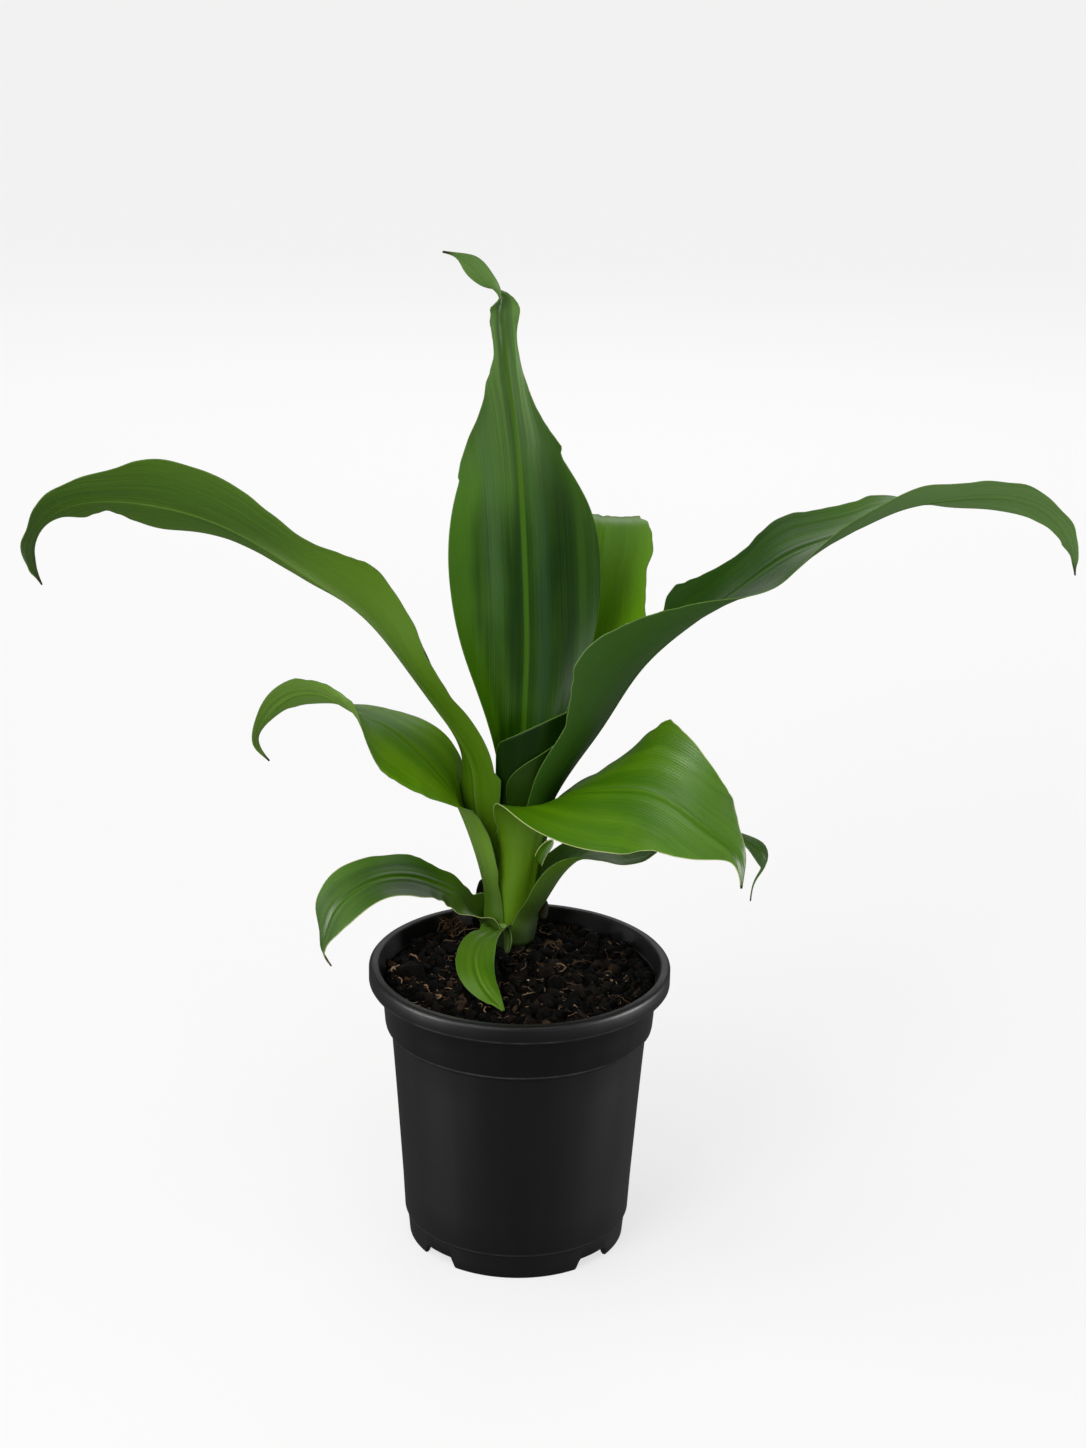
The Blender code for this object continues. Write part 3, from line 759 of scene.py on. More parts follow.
LEAVES["leaf_front_right"] = {
    "heading": -38, "sheath": (10.9, -40, 133, 186, 104, 98), "length": 220,
    "pleat": 0.08, "ripple": (0.6, 24, 16),
    "left": [(29, 0), (32, -3.5), (36, -5.5), (40, -5), (44, -6), (47, -7), (50, -6), (54, -2), (60, 0),
             (64, -0.8), (65.5, 1.6), (66.8, 3.4), (68.2, 1.8), (70, 0.5), (72, 0), (75, -0.9),
             (79, -1), (82, 0), (84, 1.2), (87, 0.9), (89, 0)],
    "right": [(22, 0), (26, 4.2), (29, 1.2), (34, 1.5), (38, 1.2), (42, 0.3), (70, 0), (74, -1.5),
              (77, -1.7), (80, -0.6), (82, 0)],
    "blade": [
        (12, 27, 203, 8, 27, 56),
        (25, 12, 218, -15, 32, -5),
        (41, 1, 224, -36, 32, -15),
        (56, -8, 227, -50, 32, 10),
        (71, -17, 223, -58, 26, 22),
        (85, -24, 214, -40, 16, 15),
        (97, -28, 204, -20, 5, 0),
        (99, -31, 190, 0, 0.6, 0),
    ],
}
print("leaves so far:", len(LEAVES))

# %% Low leaves and front leaf
LEAVES["leaf_low_right"] = {
    "heading": 12, "sheath": (13.4, -2, 133, 146, 99, 80), "length": 170,
    "pleat": 0.1, "ripple": (0.8, 22, 18),
    "left": [(82, 0), (86, 1.3), (90, 1.2), (93, 0.6), (96, 1.3), (98.5, 0.6)],
    "right": [(31, 0), (36, 1), (40, 2), (44, 2), (49, 1), (53, 0)],
    "right_lift": [(31, 0), (36, -2), (41, -3.4), (46, -3), (52, 0)],
    "blade": [
        (12, 35, 156, 15, 20, 60),
        (23, 32, 174, 20, 22.5, 38),
        (43, 33, 185, 0, 22.5, 10),
        (67, 37, 190, 0, 21, 8),
        (91, 40, 189.5, 10, 18, 12),
        (107, 41, 182, -5, 13.5, 5),
        (115, 40.5, 173, -28, 8, 0),
        (111, 39.5, 164, -25, 3.4, 0),
        (109, 38, 154, -15, 0.6, 0),
    ],
}
LEAVES["leaf_low_left"] = {
    "heading": 186, "sheath": (13.4, 184, 133, 141, 73, 70), "length": 130,
    "pleat": 0.04, "ripple": (0.7, 20, 20),
    "left": [(36, 0), (40, 0.8), (45, 0), (76, 0), (82, 0.8), (88, 0), (92, 1.4), (97, 0.6)],
    "right": [(13, -1.5), (16, -3.4), (20, -3.2), (22, -4), (27, -3), (32, -3.9), (36, -3.4),
              (40, -1.8), (43, -0.4), (47, 0), (52, -0.5), (56, 0), (74, 0), (80, 1.1), (85, 0.4),
              (88, 0), (92, 1.4), (97, 0.6)],
    "left_lift": [(11, 0), (15, -4), (20, -9), (26, -7), (31, -2.5), (36, 0)],
    "blade": [
        (-23.5, 34, 149, 2, 13, 66),
        (-30, 33, 157, 10, 12.5, 58),
        (-39, 32, 162, 14, 14.5, 36),
        (-50, 30, 166.5, 10, 18, 10),
        (-64, 28, 167, 9, 19, 5),
        (-77, 26, 162, 15, 18, 10),
        (-87.5, 24.5, 152, 25, 15, 10),
        (-92, 23, 140, 17, 8, 5),
        (-93, 22.5, 132, 7, 3.8, 0),
        (-89, 21.5, 124.5, 0, 0.6, 0),
    ],
}
LEAVES["leaf_front"] = {
    "heading": -101, "sheath": (15.2, -118, 134, 141, 26, 26), "length": 90,
    "pleat": 0.08, "ripple": (0.3, 18, 22),
    "right": [(45, 0.4), (60, 1.2), (70, 1.6), (80, 1.6), (90, 1)],
    "blade": [
        (-11.5, 16, 146, -15, 8, 34),
        (-17, 8, 145, -15, 9, 25),
        (-20, 1, 142, -12, 9.5, 15),
        (-19.5, -10, 137.5, -6, 8, 5),
        (-13.5, -29, 134.8, 0, 5, 0),
        (-7, -43.5, 133.8, 0, 0.6, 0),
    ],
}
print("leaves:", sorted(LEAVES))


# %% [markdown]
# ## The leaf's finish
#
# A living leaf isn't one green. Its veins run side by side from base to tip, so every change of
# colour is a long streak: the noise is stretched a hundred times along the leaf. The midrib is
# lighter, the margin is a thin pale line, the underside is duller and greyer, and the sheath at
# the base is paler, except on the inner leaves, where it is painted dark as shade. Painted light
# and shade come on top: painted shade in the channel beside the midrib, a pale painted sheen on
# the far part of the blade in place of gloss, and long painted streaks of shade and highlight.
# The skin is waxy, so it has a broad soft gloss, broken up by the veins.

# %% Leaf material
# Pale green of a painted sheen that stands in for gloss on the far part of a blade.
PAINTED_SHEEN_GREEN = (0.130, 0.250, 0.060)
SPECK = (0.20, 0.26, 0.12)


def leaf_finish(name, dark, light, under, rib, edge=(0.10, 0.19, 0.03), rib_width=1.2, gloss=0.33,
                sheath=(0.060, 0.130, 0.008), sheath_end=60.0, painted_light_left=0.0, painted_sheen=(2.0, 3.0, 0.0),
                painted_sheen_and_shade=(), tip_start=0.985, tip=(0.012, 0.014, 0.006)):
    """Waxy leaf: streaks along the blade, a light rib, a thin pale margin, a duller underside.

    bright is how much the lighter green takes over towards the left margin: painted light on the
    side that the softbox lights. bloom is a pale painted sheen on the far part of the blade, standing
    in for gloss: where it starts and is full, in shares of the length, and how strong it is. Each
    band is painted shade or a painted highlight along the blade: middle and half width in mm, first
    and last share of the length, strength and colour.
    """
    r = Recipe(name)
    across, along, side = r.attribute("blade_place")
    margin, share, half = r.attribute("blade_share")

    def streaks(wide, long, rough=0.5, detail=3.0):
        """Noise with `wide` waves per mm across the blade and `long` waves per mm along it."""
        return r.noise(r.vector(r.times(across, wide), r.times(along, long), side), 1.0, detail, rough)

    def above(top, bottom=0.0):
        """One number on the upper side and another below."""
        return r.ramp(side, -0.2, 0.2, bottom, top)

    broad, fine, patch = streaks(0.13, 0.005), streaks(1.4, 0.010, 0.6), streaks(0.05, 0.018, detail=2.0)
    # The last term is painted light: a lighter green towards the left margin, on the side the softbox lights.
    streak = r.plus(r.times(broad, 0.45), r.times(fine, 0.14), r.times(patch, 0.41),
                    r.ramp(half, -0.55, -0.95, 0.0, painted_light_left))
    upper = r.mix(r.ramp(streak, 0.34, 0.72), dark, light)
    below = r.mix(r.ramp(fine, 0.30, 0.75, 0.0, 0.35), under, light)
    green = r.mix(above(1.0), below, upper)
    # Painted sheen: a pale green towards the blade's end, in place of gloss.
    painted_sheen_share = r.times(r.ramp(share, painted_sheen[0], painted_sheen[1], 0.0, painted_sheen[2]), r.ramp(fine, 0.25, 0.65, 0.55, 1.0))
    green = r.mix(painted_sheen_share, green, PAINTED_SHEEN_GREEN)
    # Long streaks of painted shade and painted highlight along the blade.
    for middle, reach, first, last, strength, colour in painted_sheen_and_shade:
        wavy = r.plus(across, r.times(broad, 3.0))
        beside = r.math("ABSOLUTE", r.math("SUBTRACT", wavy, middle + 1.5))
        band = r.times(r.ramp(beside, 0.0, reach, strength, 0.0), r.ramp(share, first - 0.06, first + 0.06))
        band = r.times(band, r.ramp(share, last - 0.12, last + 0.06, 1.0, 0.0))
        green = r.mix(r.times(band, r.ramp(fine, 0.25, 0.65, 0.45, 1.0)), green, colour)
    from_rib = r.math("ABSOLUTE", across)
    # Painted shade beside the midrib on the upper side, where its channel lies.
    painted_channel_shade = r.times(r.ramp(from_rib, rib_width, rib_width * 2.6, 0.45, 0.0), above(1.0))
    green = r.mix(painted_channel_shade, green, dark)
    rib_share = r.times(r.ramp(from_rib, rib_width * 0.35, rib_width * 0.85, 0.9, 0.0),
                        r.ramp(share, 0.75, 0.95, 1.0, 0.2))
    green = r.mix(rib_share, green, rib)
    # Sheath colour at the base: paler on most leaves, painted dark as shade on the inner leaves.
    green = r.mix(r.ramp(along, sheath_end * 0.4, sheath_end, 0.85, 0.0), green, sheath)
    green = r.mix(r.ramp(margin, 0.12, 0.42, 0.9, 0.0), green, edge)
    dried = r.ramp(r.plus(share, r.times(fine, 0.012)), tip_start, tip_start + 0.02)
    green = r.mix(dried, green, tip)
    speck_at = r.node("ShaderNodeTexVoronoi", Vector=r.vector(across, along, side), Scale=0.10)
    green = r.mix(r.ramp(speck_at.outputs["Distance"], 0.012, 0.026, 0.35, 0.0), green, SPECK)
    veins = r.math("SINE", r.times(r.plus(across, r.times(broad, 1.5)), 5.2))
    height = r.plus(r.times(veins, 0.30), r.times(streaks(3.0, 0.7, 0.6), 0.7), fine)
    rough = r.plus(gloss, r.times(fine, 0.14), above(0.0, 0.12))
    return r.finish(Base_Color=green, Roughness=rough, Specular_IOR_Level=0.18,
                    Normal=r.bump(height, 0.00010, 0.5))


print("leaf recipe ready")


# %% [markdown]
# ## Nine greens
#
# The leaves differ: the innermost is the darkest and glossiest. The leaves that the light falls
# on or shines through have lighter, yellower greens, which are partly painted light, and the far
# part of most blades has a pale painted sheen in place of gloss. The colours are linear, as the
# shader takes them: dark and light streaks, the underside, and the midrib. A band is a long
# streak of painted shade or painted highlight in a place of its own, such as the painted shade on
# the right half of the upright leaf.

# %% Leaf finishes
FINISHES = {
    # Painted light on the left side, painted shade and highlights in bands, sheath painted dark as shade.
    "leaf_upright": leaf_finish("leaf_dark_green", (0.006, 0.034, 0.0003), (0.040, 0.125, 0.0010),
                                (0.060, 0.140, 0.010), (0.048, 0.135, 0.0020), rib_width=2.0, painted_light_left=0.40,
                                painted_sheen=(0.45, 0.85, 0.75), sheath=(0.004, 0.018, 0.0003), sheath_end=75.0,
                                painted_sheen_and_shade=((19.0, 15.0, 0.12, 0.66, 0.90, (0.004, 0.020, 0.0003)),
                                       (-14.0, 7.0, 0.40, 0.80, 0.50, (0.070, 0.150, 0.050)),
                                       (7.5, 5.5, 0.22, 0.62, 0.45, (0.040, 0.105, 0.040)),
                                       (-3.5, 2.5, 0.20, 0.55, 0.70, (0.006, 0.028, 0.0003)))),
    # Its sheath is painted near black as shade deep inside the plant.
    "leaf_back": leaf_finish("leaf_light_green", (0.060, 0.170, 0.0010), (0.110, 0.260, 0.0020),
                             (0.060, 0.140, 0.006), (0.090, 0.210, 0.005), sheath=(0.005, 0.022, 0.0004),
                             sheath_end=150.0, painted_sheen=(0.45, 0.65, 0.35)),
    "leaf_right": leaf_finish("leaf_grey_green", (0.008, 0.034, 0.0006), (0.022, 0.072, 0.0015),
                              (0.030, 0.088, 0.007), (0.040, 0.100, 0.008), sheath=(0.016, 0.052, 0.002),
                              painted_sheen=(0.52, 0.80, 0.70)),
    # The first band is painted shade on the outer blade, the second a painted highlight.
    "leaf_left": leaf_finish("leaf_mid_green", (0.016, 0.062, 0.0004), (0.048, 0.128, 0.0015),
                             (0.085, 0.188, 0.005), (0.110, 0.210, 0.020),
                             painted_sheen_and_shade=((0.0, 90.0, 0.60, 1.30, 0.85, (0.028, 0.080, 0.001)),
                                    (-2.0, 8.0, 0.30, 0.66, 0.60, (0.170, 0.290, 0.060)))),
    # Lighter greens that are partly painted light, for the light falling on this leaf.
    "leaf_mid_left": leaf_finish("leaf_fresh_and_lit_green", (0.075, 0.220, 0.0006), (0.170, 0.350, 0.0040),
                                 (0.120, 0.240, 0.020), (0.090, 0.200, 0.008), painted_sheen=(0.60, 0.80, 0.30)),
    # Yellow greens that are partly painted light, for light shining through this leaf.
    "leaf_front_right": leaf_finish("leaf_bright_green", (0.036, 0.115, 0.0004), (0.078, 0.190, 0.0012),
                                    (0.060, 0.140, 0.006), (0.060, 0.155, 0.001), edge=(0.45, 0.52, 0.20),
                                    sheath=(0.120, 0.250, 0.006), sheath_end=95.0, painted_sheen=(0.62, 0.85, 0.30)),
    "leaf_low_right": leaf_finish("leaf_low_green", (0.030, 0.110, 0.0008), (0.080, 0.200, 0.0030),
                                  (0.100, 0.220, 0.008), (0.090, 0.190, 0.010), painted_sheen=(0.70, 0.85, 0.30)),
    # Its band is painted shade on the inner part of the blade.
    "leaf_low_left": leaf_finish("leaf_tipped_green", (0.009, 0.040, 0.0006), (0.048, 0.130, 0.0030),
                                 (0.030, 0.075, 0.008), (0.070, 0.150, 0.012), edge=(0.40, 0.45, 0.18),
                                 painted_sheen=(0.45, 0.75, 0.45), tip_start=0.945, tip=(0.26, 0.20, 0.10),
                                 painted_sheen_and_shade=((-8.0, 16.0, 0.12, 0.52, 0.70, (0.005, 0.026, 0.0003)),)),
    "leaf_front": leaf_finish("leaf_small_green", (0.034, 0.105, 0.0010), (0.105, 0.235, 0.0050),
                              (0.035, 0.090, 0.008), (0.100, 0.210, 0.012), tip_start=1.5),
}
print("leaf finishes:", len(FINISHES))


# %% [markdown]
# ## Making the leaves
#
# Each blade takes the place of its CAD node, so that the plant has one leaf there and not two.

# %% Leaf pieces
for node, leaf in LEAVES.items():
    new_piece(node.replace("leaf_", "blade_"), *leaf_shell(leaf), look=FINISHES[node], node=node)


# %% [markdown]
# ## A sheath that overlaps, and two small blade ends
#
# The sheath of the back leaf wraps round in front of the upright leaf, and its free edge rises to
# the right. Between the lowest leaves show the pale end of a hidden leaf and a small dark fold.
# All three are too small for a solid of their own, so they are made here: the sheath as a bowed
# sheet, the ends as short cupped blades along a curve with three points.

# %% Overlapping sheath and small blade ends
SHEATH_FOOT = 176.0


def overlap_sheath():
    """The back leaf's sheath where it overlaps in front of the upright leaf.

    With u across and v upwards, y = 31 + 0.016 (x - 4)^2 bows round the plant, and the free upper
    edge rises to the right as 233 + 19 u + 2.2 sin(pi u), rounded off at its left end.
    """
    u, v = np.meshgrid(np.linspace(0.0, 1.0, 60), np.linspace(0.0, 1.0, 44))
    edge = 233 + 19 * u + 2.2 * np.sin(pi * u) - 3.5 * np.clip(1 - u / 0.06, 0.0, 1.0) ** 2
    z = SHEATH_FOOT + (edge - SHEATH_FOOT) * v
    x = -12.5 + (14 + 28 * v) * u + 3.0 * (1 - u) * (1 - ease(z, SHEATH_FOOT, SHEATH_FOOT + 12))
    y = 31 + 0.016 * (x - 4) ** 2
    margin = np.minimum(edge - z, 42 * u)
    return thin_shell(np.stack([x, y, z], axis=-1), x - 30, 18.0, margin)


def small_blade(start, bend, end, side, width, cup):
    """Short blade on the curve (1-s)^2 start + 2 s (1-s) bend + s^2 end, cupped as t^2.

    side is its level direction, and its half width is width * sqrt(1 - 0.99 s^5).
    """
    s, t = np.linspace(0.0, 1.0, 22)[:, None, None], np.linspace(-1.0, 1.0, 15)[None, :, None]
    middle = (1 - s) ** 2 * np.array(start) + 2 * s * (1 - s) * np.array(bend) + s ** 2 * np.array(end)
    side = np.array(side) / np.linalg.norm(side)
    front = np.cross(side, [0.0, 0.0, 1.0])
    half = width * np.sqrt(1 - 0.99 * s ** 5)
    surface = middle + half * t * side + cup * half * t ** 2 * front
    return thin_shell(surface, (half * t)[..., 0], 200.0, (half * (1 - np.abs(t)))[..., 0])


hidden_end = small_blade((8.0, 29, 176), (9.5, 27, 183), (14.5, 25, 189), (0.8, -0.3, -0.5), 2.6, 0.4)
front_fold = small_blade((-7.5, 19, 149), (-3.5, 15, 145), (-6.0, 13, 136), (0.7, -0.6, 0.2), 2.4, 0.5)
# The overlapping sheath takes the upright leaf's sheath colour, which is painted near black as shade.
for name, shell, like, beside in (("sheath_overlap", overlap_sheath(), "leaf_upright", "leaf_back"),
                                  ("hidden_blade_end", hidden_end, "leaf_front_right", "leaf_low_right"),
                                  ("front_blade_fold", front_fold, "leaf_low_right", "leaf_front")):
    new_piece(name, *shell, look=FINISHES[like], slot=node_slot(beside))


# %% [markdown]
# ## The pot
#
# A nursery pot is blown or pressed from thin black polypropylene. It is round, so its shape is a
# profile of radius and height in mm, turned about the axis. The foot's four drain notches are
# cuts in its lowest edge: there the profile's foot is lifted, with slanting ends.

# %% Pot profile
POT_SIDES = 360
POT_OUTSIDE = [
    (0, 7), (20, 7), (40, 7), (47.6, 7), (48.6, 6.2), (48.8, 0.5), (49.1, 0), (50.5, 0), (50.8, 0.4),
    (51.2, 5), (51.9, 10.6), (52.0, 11.5), (52.2, 12.1), (52.8, 12.5), (53.05, 13.2), (54, 30),
    (55.4, 50), (56.8, 70), (58.3, 90), (59.6, 106), (59.9, 107.3), (60.6, 107.9), (61.8, 108.2),
    (62.3, 108.7), (62.5, 109.7), (63.2, 118), (64.1, 128.2), (64.4, 128.9), (65.0, 129.2),
    (68.8, 129.2), (69.6, 129.5), (70.0, 130.2), (70.0, 136), (69.8, 137.0), (69.2, 137.7),
    (68.4, 138.0), (66.4, 138.0), (65.7, 137.8), (65.3, 137.2)]
POT_INSIDE = [
    (64.9, 134.5), (62.8, 129.2), (61.2, 112), (60.9, 109.5), (58.5, 106), (57, 84), (55, 58),
    (52.4, 22), (51.5, 13), (50.5, 9.2), (49.5, 8.6), (30, 8.6), (0, 8.6)]
NOTCHES = 4
NOTCH_HALF = 10.0
NOTCH_HEIGHT = 5.2
NOTCH_SLANT = 2.8
FOOT_RADIUS = 50.0
WARP = 0.12


def pot_surface():
    """Grid of the profile turned about the axis, warped a little as thin plastic is.

    In a notch the lowest points rise to its roof: the notch's height times the share of the
    slant that is passed, from 0 at the notch's end to 1.
    """
    profile = np.array(POT_OUTSIDE + POT_INSIDE, float)
    notch_turn = 2 * pi / NOTCHES
    ends = np.array([-NOTCH_HALF, -NOTCH_HALF + NOTCH_SLANT, NOTCH_HALF - NOTCH_SLANT, NOTCH_HALF])
    middles = notch_turn / 2 + np.arange(NOTCHES) * notch_turn
    corners = (middles[:, None] + ends / FOOT_RADIUS).ravel()
    turn = np.sort(np.concatenate([np.linspace(0, 2 * pi, POT_SIDES, endpoint=False), corners]))
    radius = profile[:, 0][:, None] * np.ones_like(turn)
    height = profile[:, 1][:, None] * np.ones_like(turn)
    from_notch = np.abs(turn % notch_turn - notch_turn / 2) * FOOT_RADIUS
    roof = NOTCH_HEIGHT * np.clip((NOTCH_HALF - from_notch) / NOTCH_SLANT, 0.0, 1.0)
    height = np.where(height < roof, roof, height)
    warp = WARP * layered_noise(turn * 3.0, turn * 0, 31, 2) * ease(height, 20, 100)
    radius = radius + warp * (radius > 1)
    return np.stack([radius * np.cos(turn), radius * np.sin(turn), height], axis=-1)


def closed_turn(grid):
    """Points and triangles of a turned grid, with each pole welded to one vertex."""
    rows, sides = grid.shape[:2]
    index = np.arange(rows * sides)
    index[:sides] = 0
    index[-sides:] = (rows - 1) * sides
    faces = index[grid_faces(rows, sides, closed=True)]
    triangles = np.concatenate([faces[:, [0, 1, 2]], faces[:, [0, 2, 3]]])
    real = (triangles[:, 0] != triangles[:, 1]) & (triangles[:, 1] != triangles[:, 2])
    real &= triangles[:, 0] != triangles[:, 2]
    triangles = triangles[real]
    used, triangles = np.unique(triangles, return_inverse=True)
    return grid.reshape(-1, 3)[used], triangles.reshape(-1, 3)


pot_points, pot_faces = closed_turn(pot_surface())
print("pot points:", len(pot_points))


# %% [markdown]
# ## Black satin plastic
#
# The plastic is satin black, with faint upright streaks from the mould and a little dust. A thin
# paler line runs along each edge: a painted highlight of the rounded edge with some rub wear, a
# pattern over the height, broken up by noise. The collar is smoother and glossier than the body.

# %% Pot material
# Pale lines along the pot's edges: painted highlights of the rounded edges, with some rub wear.
EDGE_LINES_SHEEN_AND_WEAR = ((109.2, 0.60, 0.60), (130.4, 0.50, 0.50), (13.0, 0.50, 0.40), (137.5, 0.30, 0.35))
PLASTIC_DARK = (0.0022, 0.0022, 0.0023)
PLASTIC_LIGHT = (0.0040, 0.0040, 0.0042)
DUST = (0.05, 0.05, 0.048)
# Grey of the edges' painted highlight and wear.
EDGE_SHEEN_AND_WEAR_GREY = (0.060, 0.060, 0.060)


def plastic_finish():
    """Black satin plastic. An edge line, painted highlight and wear, is a height and reach in mm, and a
    strength.
    """
    r = Recipe("black_satin_plastic")
    place = r.object_place()
    split = r.node("ShaderNodeSeparateXYZ", Vector=place)
    x, y, z = split.outputs["X"], split.outputs["Y"], split.outputs["Z"]
    streaks = r.noise(r.vector(r.times(x, 90.0), r.times(y, 90.0), r.times(z, 6.0)), 1.0, 3.0)
    grain = r.noise(place, 2600.0, 3.0, 0.6)
    cloud = r.noise(place, 28.0, 3.0)
    dust = r.ramp(r.noise(place, 420.0, 4.0, 0.7), 0.66, 0.80, 0.0, 0.12)
    # Edge lines: painted highlight and rub wear at each edge's height.
    edge_sheen_and_wear = 0.0
    for edge, reach, strength in EDGE_LINES_SHEEN_AND_WEAR:
        from_edge = r.math("ABSOLUTE", r.math("SUBTRACT", z, edge * MM))
        edge_sheen_and_wear = r.plus(edge_sheen_and_wear, r.ramp(from_edge, reach * 0.3 * MM, reach * MM, strength, 0.0))
    edge_sheen_and_wear = r.times(edge_sheen_and_wear, r.ramp(r.noise(place, 60.0, 4.0, 0.7), 0.35, 0.65, 0.25, 1.0))
    black = r.mix(edge_sheen_and_wear, r.mix(dust, r.mix(cloud, PLASTIC_DARK, PLASTIC_LIGHT), DUST), EDGE_SHEEN_AND_WEAR_GREY)
    collar = r.times(r.ramp(z, 0.107, 0.108), r.ramp(z, 0.128, 0.129, 1.0, 0.0))
    rough = r.plus(r.times(streaks, 0.14), r.ramp(collar, 0.0, 1.0, 0.41, 0.28))
    height = r.plus(r.times(grain, 0.5), r.times(streaks, 1.2))
    return r.finish(Base_Color=black, Roughness=rough, Specular_IOR_Level=0.33,
                    Normal=r.bump(height, 0.00012, 0.35))


pot_piece = new_piece("pot_body", pot_points, pot_faces, look=plastic_finish(), node="pot")


# %% [markdown]
# ## Drain holes
#
# Water leaves a nursery pot through holes in its base plate. A turned profile can't hold round
# holes off its axis, so eight short cylinders are cut out with a Boolean modifier, and the cut
# mesh is kept in place of the first one.

# %% Drain holes
HOLES = 8
HOLE_CIRCLE = 38.0
HOLE_RADIUS = 4.0
CUT_MIDDLE = 7.8
CUT_DEPTH = 5.0


def bore_base(piece):
    """Cut round holes through the base plate and keep the cut mesh."""
    shape = bmesh.new()
    for k in range(HOLES):
        turn = k * 2 * pi / HOLES
        place = Vector((HOLE_CIRCLE * cos(turn), HOLE_CIRCLE * sin(turn), CUT_MIDDLE)) * MM
        place = Matrix.Translation(Vector(POT_AXIS) + place)
        bmesh.ops.create_cone(shape, cap_ends=True, segments=24, radius1=HOLE_RADIUS * MM,
                              radius2=HOLE_RADIUS * MM, depth=CUT_DEPTH * MM, matrix=place)
    mesh = bpy.data.meshes.new("drain_cutter")
    shape.to_mesh(mesh)
    shape.free()
    cutter = bpy.data.objects.new("drain_cutter", mesh)
    bpy.context.collection.objects.link(cutter)
    cut = piece.modifiers.new("drain", "BOOLEAN")
    cut.operation, cut.solver, cut.object = "DIFFERENCE", "EXACT", cutter
    graph = bpy.context.evaluated_depsgraph_get()
    piece.data = bpy.data.meshes.new_from_object(piece.evaluated_get(graph))
    piece.modifiers.clear()
    bpy.data.objects.remove(cutter)


bore_base(pot_piece)
print("pot faces with drain holes:", len(pot_piece.data.polygons))


# %% [markdown]
# ## The stem
#
# Almost all of the stem is hidden by the sheaths, so its CAD solid stays and only gets a skin:
# green, with the paler rings that old leaves leave behind.

# %% Stem finish
def stem_finish():
    """Green skin with paler rings."""
    r = Recipe("stem_skin")
    place = r.object_place()
    rings = r.noise(r.node("ShaderNodeMapping", Vector=place, Scale=(40.0, 40.0, 260.0)).outputs[0], 1.0, 3.0)
    green = r.mix(r.ramp(rings, 0.35, 0.7), (0.035, 0.055, 0.012), (0.10, 0.15, 0.04))
    return r.finish(Base_Color=green, Roughness=0.6, Normal=r.bump(rings, 0.0003, 0.5))


stem_node = frame["nodes"]["stem"]
stem_node.data.materials.clear()
stem_node.data.materials.append(stem_finish())
print("stem skin:", stem_node.data.materials[0].name)


# %% [markdown]
# ## The soil
#
# Potting mix is a heap of crumbs, bark and fine roots, dark because it is damp. A height over each
# point of a round grid gives the heap: the same low domes as in the CAD solid, then crumbs at
# three smaller sizes. It rises round the stem, where the plant was firmed in, and the skirt and
# floor of the plug close the shape inside the pot.

# %% Soil heap
SOIL_LEVEL = 130.0
SOIL_RINGS = 120
SOIL_SIDES = 340
SOIL_EDGE = 62.3
EDGE_LEVEL = 127.4
CLODS = 26
CLODS_WITHIN = 56.0
MOUND = (-6.5, 37.0, 2.6, 15.0)
CRUMBS = ((7.5, 2.6, 41), (3.4, 1.7, 47), (1.5, 0.8, 53))
SKIRT = ((0.0, 8.9), (49.9, 8.9), (51.0, 13.0), (57.9, 106.0), (60.8, 112.0), (SOIL_EDGE - 0.3, 125.5))

draw = np.random.default_rng(11)
clods = []
for _ in range(CLODS):
    distance = CLODS_WITHIN * np.sqrt(draw.uniform(0.02, 1.0))
    bearing = draw.uniform(0, 2 * pi)
    reach, rise = draw.uniform(5, 9), draw.uniform(-1.4, 1.6)
    clods.append((distance * cos(bearing), distance * sin(bearing), reach, rise))


def soil_height(x, y):
    """Height of the heap over the floor.

    A slow wave, plus a dome rise * exp(-distance^2 / reach^2) for each clod and for the mound at
    the stem, plus folded noise for the crumbs: 0.45 - |noise| has the creases that crumbs have.
    """
    height = SOIL_LEVEL + 1.1 * (np.sin(x / 11.0 + 1.0) * np.cos(y / 13.0) + 0.6 * np.sin((x + 2 * y) / 17.0))
    for cx, cy, reach, rise in clods:
        height += rise * np.exp(-((x - cx) ** 2 + (y - cy) ** 2) / reach ** 2)
    cx, cy, rise, reach = MOUND
    height += rise * np.exp(-((x - cx) ** 2 + (y - cy) ** 2) / reach ** 2)
    for scale, depth, seed in CRUMBS:
        crumb = np.abs(lattice_noise(x / scale + 9.0, y / scale + 5.0, seed))
        height += depth * (0.45 - crumb)
    return height + 0.3 * lattice_noise(x / 0.8, y / 0.8, 59)


ring_radius = SOIL_EDGE * (1 - np.linspace(0.0, 1.0, SOIL_RINGS) ** 1.15)
ring_turn = np.linspace(0, 2 * pi, SOIL_SIDES, endpoint=False)
soil_x = ring_radius[:, None] * np.cos(ring_turn)
soil_y = ring_radius[:, None] * np.sin(ring_turn)
soil_z = soil_height(soil_x, soil_y)
soil_z[-1] = soil_z[-1].mean()
soil_z += (EDGE_LEVEL - soil_z) * (1 - ease(SOIL_EDGE - ring_radius, 0.0, 1.2))[:, None] * 0.8
skirt_radius, skirt_height = np.array(SKIRT).T[:, :, None]
skirt = np.stack([skirt_radius * np.cos(ring_turn), skirt_radius * np.sin(ring_turn),
                  skirt_height * np.ones(SOIL_SIDES)], axis=-1)
soil_grid = np.concatenate([skirt, np.stack([soil_x, soil_y, soil_z], axis=-1)])
soil_points, soil_faces = closed_turn(soil_grid)
print("soil points:", len(soil_points), "highest at", round(float(soil_z.max()), 1))


